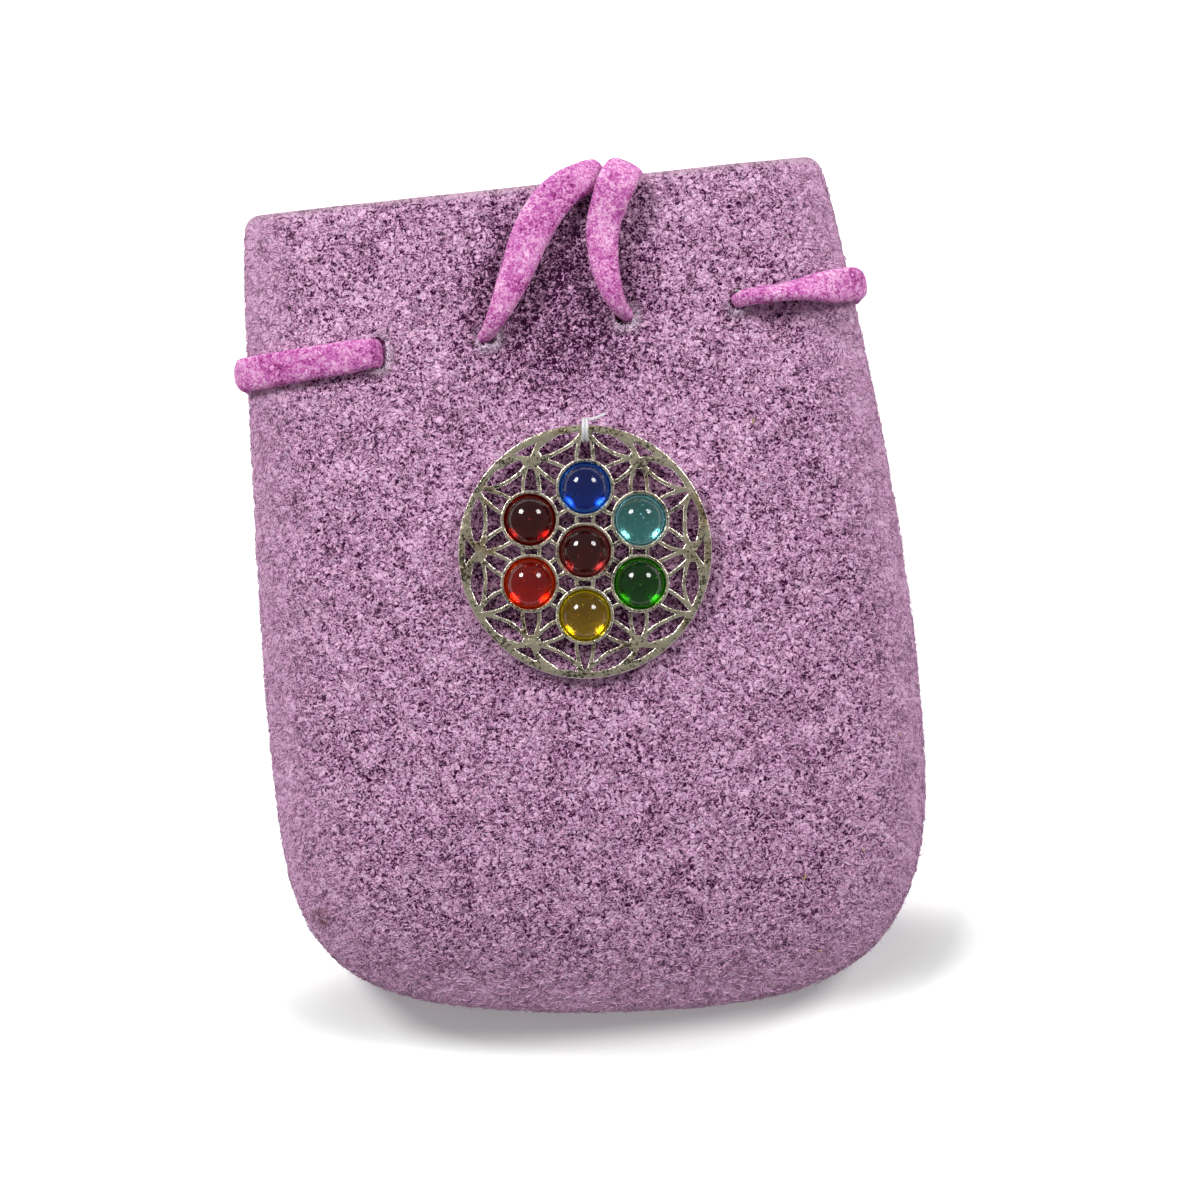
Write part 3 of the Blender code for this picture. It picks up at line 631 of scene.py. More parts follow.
def seam_rings(sign):
    """The turned seam beyond the face: the way out and the height of each ring."""
    rings = []
    for step in range(1, FOLD_STEPS + 1):
        angle = FOLD_END - (FOLD_END + math.pi / 2) * step / FOLD_STEPS
        rise = SEAM_GAP + SEAM_FOLD * (1 + math.sin(angle)) * (FOLD_RISE - SEAM_GAP) / (FOLD_RISE - SEAM_REST)
        rings.append((FOLD_INSET - SEAM_FOLD * (1 - math.cos(angle)), SEAM_HEIGHT + sign * rise))
    return rings + [(FOLD_INSET - SEAM_ALLOWANCE, SEAM_HEIGHT + sign * SEAM_GAP)]


def edge_direction(u, w):
    """The edge point for a place on the square's edge, and the way out from it."""
    nudge = 0.01
    if abs(u) >= w:
        u = math.copysign(1.0, u)
        before, after = panel_point(u, w - nudge), panel_point(u, w + nudge)
    else:
        before, after = panel_point(u - nudge, 1.0), panel_point(u + nudge, 1.0)
    along = Vector((after[0] - before[0], after[1] - before[1])).normalized()
    out = Vector((along.y, -along.x))
    point = Vector(panel_point(u, w))
    if out.dot(point - Vector((0, MIDDLE_DEPTH))) < 0:
        out.negate()
    if w <= 0:
        out = Vector((math.copysign(1.0, u), 0.0))
    return point, out


print("the seam has", len(seam_rings(1)), "rows beyond the face")

# %% [markdown]
# One sheet for a panel
# The grid's middle lies on the face and its outer rows on the seam. Rows are closer together near the
# fold, where the sheet bends. The mouth's two corners droop a little, as cut suede does.

# %% A panel's sheet
FACE_HALF = 74
ROWS_ABOVE = 98
ROWS_BELOW = 84
CORNER_SHARE = 0.07
CORNER_DROP = 1.5 * MM
CORNER_DEPTH = 6.0 * MM


def reach_out(x, depth):
    """How far across the pouch a point lies: 1 at the very edge."""
    return min(abs(x) / half_width(x, depth), 1.0)


def lay_panel(name, sign, face):
    """The panel's outer side as one sheet, with the share of each point that lies in the seam."""
    half = spaced(FACE_HALF, 0.5)
    rings = seam_rings(sign)
    count = len(rings)
    beyond = [1 + (k + 1) / count for k in range(count)]
    across = [-a for a in reversed(half + beyond)] + (half + beyond)[1:]
    down = [-1 + i / ROWS_ABOVE for i in range(ROWS_ABOVE)] + spaced(ROWS_BELOW, 0.5) + beyond
    piece, column, row = start_grid(name, len(across) - 1, len(down) - 1)
    points = np.empty((len(column), 3))
    seam = np.zeros(len(column))
    for i, (c, r) in enumerate(zip(column, row)):
        u, w = across[c], down[r]
        reach = max(abs(u), w)
        if reach <= 1:
            x, depth = panel_point(u, w)
            z = face(x, depth)
        else:
            ring = rings[round((reach - 1) * count) - 1]
            point, out = edge_direction(u / reach, w / reach if w > 0 else w)
            x, depth = point + out * ring[0]
            z = ring[1]
            seam[i] = (reach - 1) * count / (count - 1)
        corner = min(max((reach_out(x, depth) - 1) / CORNER_SHARE + 1, 0.0), 1.0)
        depth += CORNER_DROP * corner**3 * max(1 - depth / CORNER_DEPTH, 0.0)
        points[i] = x, MOUTH_Y - depth, z
    place_points(piece.data, points)
    give_value(piece.data, "seam", np.minimum(seam, 1))
    give_value(piece.data, "cut", np.clip(1 - row / 2, 0, 1))
    if sign < 0:
        select_only(piece)
        bpy.ops.object.mode_set(mode="EDIT")
        bpy.ops.mesh.select_all(action="SELECT")
        bpy.ops.mesh.flip_normals()
        bpy.ops.object.mode_set(mode="OBJECT")
    return piece


print("a panel's sheet has about", 2 * FACE_HALF * (ROWS_ABOVE + ROWS_BELOW), "faces")

# %% [markdown]
# Slits and wear
# A slit is opened by deleting the faces inside it and drawing the open rim out to the slot's outline.
# The needle hole is smaller than a face, so the nearest point is moved to it first, and the faces
# round that point go. Two values are kept for the finish: how near the border a point is, and how worn.

# %% Open the slits
def border_share(points):
    """1 along the panel's outline, falling to 0 some way in."""
    shares = [edge_share(x, min(max(MOUTH_Y - y, 0.0), POUCH_LENGTH)) for x, y in points[:, :2]]
    return np.clip((np.array(shares) - 0.8) / 0.2, 0, 1) ** 1.5


def open_slits(piece, slots):
    """Deletes the faces inside each slot and draws the rims out to its outline."""
    mesh = piece.data
    select_only(piece)
    points = points_of(mesh)
    seam = values_of(mesh, "seam")
    for x, y, half_x, half_y in slots:
        off = np.linalg.norm(points[:, :2] - (x, y), axis=1) + seam
        if half_x < 1 * MM:
            points[off.argmin(), :2] = x, y
    place_points(mesh, points)
    inside = (slot_reach(points, slots)[0] < 1) & (seam == 0)
    for face in mesh.polygons:
        held = [v for v in face.vertices if inside[v]]
        small = any(math.dist(points[v, :2], slots[-1][:2]) < 1e-7 for v in held)
        face.select = small or len(held) >= 2
    for edge in mesh.edges:
        edge.select = False
    for vertex in mesh.vertices:
        vertex.select = False
    bpy.ops.object.mode_set(mode="EDIT")
    bpy.ops.mesh.select_mode(type="FACE")
    bpy.ops.mesh.delete(type="FACE")
    bpy.ops.mesh.select_mode(type="VERT")
    bpy.ops.mesh.select_all(action="DESELECT")
    bpy.ops.mesh.select_non_manifold()
    bpy.ops.object.mode_set(mode="OBJECT")
    points = points_of(mesh)
    rim = np.array([v.select for v in mesh.vertices])
    reach, middle = slot_reach(points, slots)
    rim &= (reach < 2) | (np.linalg.norm(points[:, :2] - middle, axis=1) < 1.5 * MM)
    points[rim, :2] = middle[rim] + (points[rim, :2] - middle[rim]) / reach[rim][:, None]
    place_points(mesh, points)


def wear_round(points, slots):
    """1 on a slit's rim, falling to 0 about a millimetre out, stronger below and to the right of it."""
    reach, middle = slot_reach(points, slots)
    off = points[:, :2] - middle
    away = np.linalg.norm(off, axis=1)
    rim = away * (1 - 1 / np.maximum(reach, 1.0))
    side = 0.65 + 0.35 * (off[:, 0] - off[:, 1]) / np.maximum(away, 1e-9)
    return np.clip(1 - rim / (0.9 * MM), 0, 1) * side


print("each panel will have", len(front_slots), "slits")

# %% [markdown]
# Raised fibres
# A fibre is a three sided spindle: a point at each end and two rings of three between, so that it costs
# twelve faces. One is modelled from a small cylinder. Then thousands of copies are strewn over
# the skin, each with its own length, bend, lift and turn. They catch the light as the real nap does,
# also at the pouch's outline, which a flat pattern can't do.

# %% One fibre
select_only()
bpy.ops.mesh.primitive_cylinder_add(vertices=3, radius=0.5, depth=1 / 3, end_fill_type="TRIFAN")
fibre = named("fibre_pattern")
spindle = points_of(fibre.data)
tips = np.abs(spindle[:, :2]).sum(1) < 1e-6
spindle[tips, 2] *= 3
FIBRE_ALONG = spindle[:, 2].copy()
FIBRE_ACROSS = spindle[:, 0] / np.abs(spindle[:, 0]).max()
FIBRE_UP = (spindle[:, 1] - spindle[:, 1].min()) / np.ptp(spindle[:, 1])
FIBRE_FACES = []
for face in fibre.data.polygons:
    corners = tuple(face.vertices)
    FIBRE_FACES += [(corners[0], corners[k], corners[k + 1]) for k in range(1, len(corners) - 1)]
FIBRE_FACES = np.array(FIBRE_FACES)
bpy.data.meshes.remove(fibre.data)
print("a fibre has", len(FIBRE_FACES), "triangles")

# %% [markdown]
# Where fibres go
# Faces are drawn by seeded chance, by their area and by a weight, and a place within each. The place
# carries the skin's normal, so that a fibre can lie on it.

# %% Where fibres go
def scatter_places(mesh, count, seed, weight):
    """Random places on a mesh of quads: the point and the normal of each."""
    rng = np.random.default_rng(seed)
    points = points_of(mesh)
    normals = np.empty(len(points) * 3)
    mesh.vertices.foreach_get("normal", normals)
    normals = normals.reshape(-1, 3)
    corners = np.array([tuple(face.vertices) for face in mesh.polygons if len(face.vertices) == 4])
    a, b, c, d = (points[corners[:, k]] for k in range(4))
    share = sum(np.linalg.norm(np.cross(*v), axis=1) for v in ((b - a, d - a), (d - c, b - c)))
    share *= weight[corners].mean(1)
    chosen = corners[rng.choice(len(corners), count, p=share / share.sum())]
    s, t = rng.random((2, count, 1))
    spot, facing = (
        (v[chosen[:, 0]] * (1 - s) + v[chosen[:, 1]] * s) * (1 - t)
        + (v[chosen[:, 3]] * (1 - s) + v[chosen[:, 2]] * s) * t
        for v in (points, normals)
    )
    return spot, facing / np.linalg.norm(facing, axis=1)[:, None]


print("fibres are placed by the area and the weight of each face")

# %% [markdown]
# Strewn fibres
# All the fibres of a piece are worked out at once, as rows of numbers, and written into one mesh. None
# goes under the table's face.

# %% Strewn fibres
REST_HEIGHT = 0.03 * MM


def strew_fibres(name, spot, facing, seed, length, width, height, curl=0.5):
    """Fibres at these places, lying on the skin in every direction."""
    rng = np.random.default_rng(seed)
    count = len(spot)
    side = np.cross(facing, rng.normal(size=(count, 3)))
    side /= np.linalg.norm(side, axis=1)[:, None]
    ahead = np.cross(side, facing)
    long = length * rng.uniform(0.5, 1.6, (count, 1))
    wide = width * rng.uniform(0.6, 1.3, (count, 1)) / 2
    high = height * rng.uniform(0.5, 1.3, (count, 1))
    lift = height * rng.uniform(-0.3, 0.6, (count, 1))
    bend = rng.normal(0, curl, (count, 1))
    along = FIBRE_ALONG * long
    across = FIBRE_ACROSS * wide + bend * long * (2 * FIBRE_ALONG) ** 2 / 2
    rise = FIBRE_UP * high + lift
    points = spot[:, None] + ahead[:, None] * along[..., None]
    points += side[:, None] * across[..., None] + facing[:, None] * rise[..., None]
    points[..., 2] = np.maximum(points[..., 2], REST_HEIGHT)
    faces = (np.arange(count)[:, None, None] * len(FIBRE_ALONG) + FIBRE_FACES).reshape(-1, 3)
    mesh = bpy.data.meshes.new(name)
    mesh.vertices.add(count * len(FIBRE_ALONG))
    mesh.loops.add(faces.size)
    mesh.loops.foreach_set("vertex_index", faces.astype(np.int32).ravel())
    mesh.polygons.add(len(faces))
    mesh.polygons.foreach_set("loop_start", np.arange(len(faces), dtype=np.int32) * 3)
    place_points(mesh, points.reshape(-1, 3))
    mesh.update(calc_edges=True)
    mesh.polygons.foreach_set("use_smooth", np.ones(len(faces), dtype=bool))
    piece = bpy.data.objects.new(name, mesh)
    bpy.context.scene.collection.objects.link(piece)
    return piece


print("fibres stay", REST_HEIGHT / MM, "mm above the table")

# %% [markdown]
# The nylon loop's place
# The pendant hangs from its rim's top, and the strand that holds it goes through a needle hole in the
# front panel right under the rim. That place has to be known before the front panel is made.

# %% Pendant's place and the needle hole
LATTICE = 7.56 * MM
RIM_RADIUS = 2 * LATTICE
RIM_WIDTH = 1.15 * MM
PLATE_THICKNESS = 1.2 * MM
PENDANT_X = 0.95 * MM
PENDANT_DEPTH = 44.8 * MM
PENDANT_Z = BELLY_TOP + 0.3 * MM
PENDANT_TURN = math.radians(-6.1)
pendant_place = Matrix.Translation((PENDANT_X, MOUTH_Y - PENDANT_DEPTH, PENDANT_Z))
pendant_place = pendant_place @ Matrix.Rotation(PENDANT_TURN, 4, "Z")
rim_top = pendant_place @ Vector((0, RIM_RADIUS - RIM_WIDTH / 2, PLATE_THICKNESS / 2))
NEEDLE_HALF = 0.5 * MM
needle_hole = (rim_top.x, rim_top.y, NEEDLE_HALF, NEEDLE_HALF)
print("the loop goes round the rim at", [round(v / MM, 2) for v in rim_top])

# %% [markdown]
# Front and back
# The same builder makes both panels. The fibres are strewn on the outer sheet before it gets its
# thickness, so that none grow inside. The front has twice as many as the back, in two pieces. A kind of
# fibre is given as its count, its length, width and height in millimetres, and its curl.

# %% Front panel, back panel and their nap
NAP_FIBRES = (14000, (1.3, 0.14, 0.09), 0.9)
LONG_FIBRES = (2600, (1.5, 0.11, 0.1), 0.6)
SLIT_FRINGE = (900, (0.9, 0.12, 0.14), 0.5)
SOFT_RIPPLES = ((6.0 * MM, 0.4 * MM), (1.2 * MM, 0.16 * MM))


def make_panel(name, node, sign, face, holes, naps, seed):
    """One panel with its slits, its worn places and its fibres."""
    piece = lay_panel(name, sign, face)
    open_slits(piece, holes)
    mesh = piece.data
    loose = piece.vertex_groups.new(name="loose")
    for i, seam in enumerate(values_of(mesh, "seam")):
        loose.add([i], float(1 - seam), "REPLACE")
    for feature, depth in SOFT_RIPPLES:
        ripple(piece, feature, depth, "loose")
    points = points_of(mesh)
    points[:, 2] = np.maximum(points[:, 2], REST_HEIGHT)
    place_points(mesh, points)
    worn = wear_round(points, holes[:4])
    give_value(mesh, "wear", worn)
    give_value(mesh, "border", border_share(points_of(mesh)))
    shown = 1.0 * ((values_of(mesh, "seam") <= 0.8) & (values_of(mesh, "cut") == 0))
    kinds = [(nap_name, shown, NAP_FIBRES) for nap_name in naps]
    kinds += [(name + "_long_fibres", shown, LONG_FIBRES), (name + "_slit_fringe", worn**2, SLIT_FRINGE)]
    for k, (nap_name, weight, (count, size, curl)) in enumerate(kinds):
        spot, facing = scatter_places(mesh, count, seed + k, weight)
        nap = strew_fibres(nap_name, spot, facing, seed + 10 + k, *(v * MM for v in size), curl)
        give_value(nap.data, "wear", np.repeat(wear_round(spot, holes[:4]), len(FIBRE_ALONG)))
        give_value(nap.data, "border", np.repeat(border_share(spot), len(FIBRE_ALONG)))
        finish_piece(nap, "pouch", nap_finish, "suede")
    apply_modifier(piece, "SOLIDIFY", thickness=WALL, offset=-1, use_even_offset=True)
    smooth(piece, 60)
    finish_piece(piece, "pouch", skin_finish, "suede", node)


front_naps = ("front_nap_one", "front_nap_two")
make_panel("suede_front", "front_panel", 1, front_face, front_slots + [needle_hole], front_naps, 11)
make_panel("suede_back", "back_panel", -1, back_face, back_slots, ("back_nap",), 31)

# %% [markdown]
# How a lace is made
# A flat lace is a grid rolled into a tube round its route. Each station of the route carries its place,
# width, thickness and roll, and all of them are read from one smooth curve, so the lace twists and
# narrows as softly as it turns. Where it leaves the inside, it stands on edge in its slit, as real
# flat laces do, and settles flat further on. These helpers draw that curve and its direction.

# %% Smooth lines and their frames
def smooth_line(stations, steps=14):
    """Rows of numbers along a smooth curve through the given rows."""
    rows = np.array(stations, dtype=float)
    rows = np.concatenate([2 * rows[:1] - rows[1:2], rows, 2 * rows[-1:] - rows[-2:-1]])
    t = np.arange(steps)[:, None] / steps
    found = [
        0.5 * (2 * b + (c - a) * t + (2 * a - 5 * b + 4 * c - d) * t**2 + (3 * b - 3 * c + d - a) * t**3)
        for a, b, c, d in zip(rows, rows[1:], rows[2:], rows[3:])
    ]
    return np.concatenate(found + [rows[-2:-1]])


def length_along(points):
    return np.concatenate([[0], np.cumsum(np.linalg.norm(np.diff(points[:, :3], axis=0), axis=1))])


def evenly(rows, step):
    """The same line with rows an even step apart."""
    gone = length_along(rows)
    wanted = np.linspace(0, gone[-1], max(2, round(gone[-1] / step)) + 1)
    return np.stack([np.interp(wanted, gone, rows[:, k]) for k in range(rows.shape[1])], 1)


def unit(v):
    return v / np.linalg.norm(v, axis=-1, keepdims=True)


def carried_frames(points, first_across, flat_after=None):
    """The tangent and the across of a ribbon at each point, without any twist of its own.

    With flat_after, the ribbon turns from standing in its slit to lying flat over that length.
    """
    tangent = unit(np.gradient(points, axis=0))
    gone = length_along(points)
    across = np.empty_like(points)
    last = np.array(first_across, dtype=float)
    for i, along in enumerate(tangent):
        if flat_after and gone[i] <= flat_after:
            share = min(gone[i] / flat_after, 1.0)
            share = share * share * (3 - 2 * share)
            flat = np.cross((0, 0, 1.0), along)
            flat *= np.sign(flat @ last) or 1
            last = last * (1 - share) + flat * share
        last = unit(last - along * (last @ along))
        across[i] = last
    return tangent, across


print("a line of two stations has", len(smooth_line([(0,), (1,)])), "rows")

# %% [markdown]
# The ribbon itself
# The section is a flat rounded box, given by one power: 2 is an ellipse, and more is boxier. A grid is
# rolled into that section at every step, and its two ends are eased in and closed.

# %% The ribbon
RIBBON_SIDES = 20
RIBBON_POWER = 2.7
RIBBON_STEP = 0.4 * MM
END_SIZE = 0.72


def ribbon(
    name, rows, first_across, flat_after=None, sides=RIBBON_SIDES, power=RIBBON_POWER, step=RIBBON_STEP,
    end_ease=0.5 * MM,
):
    """A closed tube whose rows are x, y, z, width, thickness and roll in degrees. Also gives its line."""
    rows = evenly(smooth_line(rows), step)
    points = rows[:, :3]
    tangent, across = carried_frames(points, first_across, flat_after)
    up = np.cross(tangent, across)
    roll = np.radians(rows[:, 5:6])
    across, up = across * np.cos(roll) + up * np.sin(roll), up * np.cos(roll) - across * np.sin(roll)
    gone = length_along(points)
    near_end = np.minimum(gone, gone[-1] - gone) / end_ease
    ease = END_SIZE + (1 - END_SIZE) * np.sqrt(1 - (1 - np.minimum(near_end, 1)) ** 2)
    piece, column, row = start_grid(name, len(rows) - 1, sides)
    turn = 2 * math.pi * row / sides
    wide, thick = (
        np.sign(f) * np.abs(f) ** (2 / power) * rows[column, k] / 2 * ease[column]
        for f, k in ((np.cos(turn), 3), (np.sin(turn), 4))
    )
    place_points(piece.data, points[column] + across[column] * wide[:, None] + up[column] * thick[:, None])
    tidy_mesh(piece, close=True)
    return piece, points


print("ribbons have", RIBBON_SIDES, "sides")

# %% [markdown]
# Orchid lace
# The lace is the same kind of skin in a stronger pink, with a shorter, denser nap: fine pale flecks over
# a deeper purple. It reuses the nap pattern at a finer scale, with slow patches where the dye took more.

# %% Lace finish
LACE_GAP_SHADE = linear(126, 34, 100)
LACE_PINK = linear(204, 104, 182)
LACE_FLECK = linear(252, 198, 234)
LACE_DEEP = linear(182, 70, 162)

lace_finish, graph, shader = new_material(
    "orchid_lace", Roughness=0.9, Sheen_Weight=0.15, Sheen_Roughness=0.5, Sheen_Tint=linear(246, 200, 236),
    Specular_IOR_Level=0.15,
)
place = graph.millimetres()
nap = graph.add("Group", {"node_tree": nap_group}, Place=place, Clump_Scale=2.1, Mottle=0.2).outputs
# The ramp follows the lace's relief, so its dark is painted shade in the gaps.
colour = graph.ramp(nap["Height"], (0.37, LACE_GAP_SHADE), (0.47, LACE_PINK), (0.61, LACE_FLECK))
deep = graph.remap(graph.noise(place, 0.45, 2, 0.6), 0.5, 0.68, 0.0, 0.55)
colour = graph.tint(deep, colour, graph.tint(0.35, LACE_DEEP, colour))
graph.feed(shader.inputs, Base_Color=colour, Normal=graph.bump(nap["Height"], 0.15 * MM))
print("lace finish ready")

# %% [markdown]
# The lace where the pouch holds it
# Its route is written as stations: on a panel's outside or inside, through a slit, or round a side. Each
# keeps a small gap from the suede, so that the lace rests on it and doesn't sink in.

# %% Stations of the lace
LACE_GAP = 0.2 * MM
INNER_GAP = 0.3 * MM
WRAP_RADIUS = SEAM_FOLD + LACE_GAP + LACE_THICKNESS / 2
LACE_RIPPLE = (0.9 * MM, 0.13 * MM)


def lying(face, sign, x, outside, width=LACE_WIDTH, thick=LACE_THICKNESS, roll=0.0):
    """A station of the lace on a panel: outside it, or inside its wall."""
    rad = math.radians(roll)
    half = (abs(math.sin(rad)) * width + abs(math.cos(rad)) * thick) / 2
    away = LACE_GAP + half if outside else -(WALL + INNER_GAP + half)
    return (x, lace_y(x), face(x, MOUTH_Y - lace_y(x)) + sign * away, width, thick, roll)


def crossing(face, sign, x, way, to_outside, **shape):
    """Two stations through a slit."""
    return [
        lying(face, sign, x - way * 0.8 * MM, not to_outside, **shape),
        lying(face, sign, x + way * 0.8 * MM, to_outside, **shape),
    ]


def round_side(side, roll=0.0):
    """Round the seam's two folds, from the front to the back."""
    found = []
    for sign, angles in ((1, (60, 30, 0)), (-1, (0, 30, 60))):
        for angle in angles:
            turn = math.radians(angle)
            x = side * (half_width(side, LACE_DEPTH) - SEAM_FOLD + WRAP_RADIUS * math.cos(turn))
            z = SEAM_HEIGHT + sign * (SEAM_REST + SEAM_FOLD + WRAP_RADIUS * math.sin(turn))
            width = LACE_WIDTH * (0.8 + 0.24 * math.sin(turn) / math.sin(FOLD_END))
            found.append((x, lace_y(x), z, width, LACE_THICKNESS, roll))
    return found


print("a wrap round a side has", len(round_side(1)), "stations")

# %% [markdown]
# The held lace
# From inside the front it comes out of the first slit, goes round the left side, in and out along the
# back, round the right side and in again at the last slit. In the photograph the right wrap has half a
# twist in it: it stands on edge near the middle and goes into its slit narrow and bunched.

# %% Held lace
# Each row of the right wrap is x, width, thickness and roll.
RIGHT_WRAP = (
    (34.4, 4.1, 1.5, 6), (32.4, 3.9, 1.5, 24), (30.0, 3.5, 1.6, 48), (27.4, 3.0, 1.7, 62),
    (25.2, 2.6, 1.9, 66),
)
one, two, three, four = SLIT_X
fit = {"width": 3.6 * MM}
held = [lying(front_face, 1, two - 2.9 * MM, False, **fit), lying(front_face, 1, (one + two) / 2, False)]
held += crossing(front_face, 1, one, -1, True, **fit)
held += [lying(front_face, 1, one - away * MM, True) for away in (4, 9)] + round_side(-1)
held += [lying(back_face, -1, one - away * MM, True) for away in (9, 4)]
held += crossing(back_face, -1, one, 1, False, **fit) + [lying(back_face, -1, (one + two) / 2, False)]
held += crossing(back_face, -1, two, 1, True, **fit) + [lying(back_face, -1, (two + three) / 2, True)]
held += crossing(back_face, -1, three, 1, False, **fit) + [lying(back_face, -1, (three + four) / 2, False)]
held += crossing(back_face, -1, four, 1, True, **fit)
held += [lying(back_face, -1, four + away * MM, True) for away in (4, 8)] + round_side(1)[::-1]
for x, *size, roll in RIGHT_WRAP:
    held.append(lying(front_face, 1, x * MM, True, *(v * MM for v in size), roll))
held += crossing(front_face, 1, four, -1, False, width=2.3 * MM, thick=1.9 * MM, roll=66)
held += [lying(front_face, 1, x, False, width=3.4 * MM) for x in ((three + four) / 2, three + 2.9 * MM)]
lace, line = ribbon("held_lace", held, (0, 1, 0))
print("the held lace is", round(length_along(line)[-1] / MM), "mm long")
ripple(lace, *LACE_RIPPLE)
smooth(lace, 60)
finish_piece(lace, "pouch", lace_finish, "lace_suede", "drawstring_lace")

# %% [markdown]
# The two free tails
# Each tail leaves its slit on edge, opens out flat on the front, goes over the mouth's edge and down
# the back wall inside, where its rest lies in an open curl. The first stretch is drawn from the
# photograph, and the hidden stretch is as long as such laces usually are. Routes, widths and
# thicknesses are in millimetres, one for each station, and the last value serves the rest.

# %% Lace tails
TAIL_LEFT_ROUTE = [
    (-10.2, 32.55, 9.15), (-9.3, 32.5, 9.4), (-8.2, 32.8, 11.3), (-7.0, 34.2, 12.9), (-5.4, 36.7, 13.4),
    (-3.4, 40.4, 13.0), (-1.5, 44.2, 12.2), (0.7, 47.3, 11.6), (3.0, 49.4, 11.2), (5.1, 50.4, 10.8),
    (6.8, 51.1, 10.0), (7.4, 51.3, 8.6), (6.8, 50.6, 7.2), (5.6, 48.8, 6.6), (4.1, 46.0, 6.3),
    (2.6, 41.0, 5.8), (1.4, 35.0, 5.2), (0.4, 29.0, 4.8), (-2.5, 21.5, 4.45), (-9.0, 13.5, 2.9),
    (-16.0, 6.0, 2.8),
    (-20.5, -5.0, 2.9), (-20.0, -18.0, 2.9), (-13.0, -27.0, 2.8), (-3.5, -27.0, 2.7), (1.0, -19.0, 2.7),
    (-2.0, -9.5, 2.7), (-9.0, -4.5, 2.7), (-13.5, -10.5, 2.7), (-12.0, -17.5, 2.7),
]
TAIL_RIGHT_ROUTE = [
    (10.9, 33.45, 9.05), (10.0, 33.3, 9.4), (8.9, 33.6, 11.2), (8.0, 34.9, 12.7), (7.3, 37.1, 13.2),
    (6.9, 40.7, 12.9), (7.3, 44.4, 12.6), (8.6, 47.7, 12.8), (9.5, 49.5, 12.5), (10.3, 50.8, 11.3),
    (10.8, 51.3, 9.7), (10.9, 51.2, 8.0), (10.5, 50.0, 6.75), (9.2, 47.0, 6.35), (6.5, 41.0, 5.8),
    (4.9, 35.0, 5.2), (4.6, 29.0, 4.8), (7.5, 21.5, 4.45), (14.0, 13.5, 2.9), (20.0, 5.5, 2.9),
    (22.5, -5.5, 3.0), (21.5, -18.0, 3.0), (15.5, -27.0, 2.9), (8.0, -26.5, 2.7), (5.5, -18.0, 2.7),
    (9.5, -9.5, 2.7),
    (15.5, -8.0, 2.7), (17.0, -14.5, 2.7), (13.0, -19.5, 2.7),
]
LEFT_WIDTHS = [
    2.2, 2.0, 1.5, 2.2, 3.2, 4.1, 4.7, 4.8, 4.5, 4.1, 3.6, 3.2, 3.0, 3.0, 3.2, 3.3, 3.3, 3.4, 3.8
]
RIGHT_WIDTHS = [2.2, 2.0, 1.5, 2.1, 2.9, 3.6, 4.1, 4.5, 4.7, 4.5, 4.2, 4.0, 3.8, 3.4, 3.3, 3.3, 3.4, 3.8]
THICKNESSES = [1.9, 1.9, 1.9, 1.9, 1.8, 1.7, 1.6]
NECK_ROLLS = {13: 20, 14: 38, 15: 45, 16: 40, 17: 20}


def tail(name, node, route, widths, slit_x):
    """A free tail from its slit on, built along its route, and its length."""
    rows = []
    for i, spot in enumerate(route):
        width = widths[i] if i < len(widths) else LACE_WIDTH / MM
        thick = THICKNESSES[min(i, len(THICKNESSES) - 1)]
        rows.append((*(v * MM for v in (*spot, width, thick)), NECK_ROLLS.get(i, 0)))
    piece, line = ribbon(name, rows, (0, 1, 0), flat_after=11 * MM)
    ripple(piece, *LACE_RIPPLE)
    smooth(piece, 60)
    finish_piece(piece, "pouch", lace_finish, "lace_suede", node)
    exit_place = (slit_x, lace_y(slit_x), front_face(slit_x, MOUTH_Y - lace_y(slit_x)))
    long = float(length_along(line)[-1])
    [tuple(float(v) for v in p) for p in line]
    print(name, "is", round(long / MM), "mm long")


tail("tail_left", "lace_tail_left", TAIL_LEFT_ROUTE, LEFT_WIDTHS, two)
tail("tail_right", "lace_tail_right", TAIL_RIGHT_ROUTE, RIGHT_WIDTHS, three)

# %% [markdown]
# The casting's lattice
# The disc's pattern is circles of one radius, set a radius apart. What is left open between two of
# them is a petal, and among three of them a small curved triangle. Each hole is the region inside some
# circles and outside others, so its outline is found from where the circles meet.

# %% Regions between circles
ARC_STEP = 0.3 * MM
REACH = range(-4, 5)


def lattice_points(rows, spacing=LATTICE):
    """Points of a triangular lattice, one of them upright above the middle, out to some rows."""
    found = [Vector((math.sqrt(3) / 2 * i, j + i / 2)) for i in REACH for j in REACH]
    return [point * spacing for point in found if point.length <= rows + 0.01]


def circle_meetings(a, b):
    """The two points where two circles, (middle, radius), meet."""
    (p, r), (q, s) = a, b
    apart = (q - p).length
    if apart < 1e-9 or apart > r + s or apart < abs(r - s):
        return []
    along = (r * r - s * s + apart * apart) / (2 * apart)
    off = math.sqrt(max(r * r - along * along, 0.0))
    way = (q - p) / apart
    return [p + way * along + Vector((-way.y, way.x)) * off * sign for sign in (1, -1)]


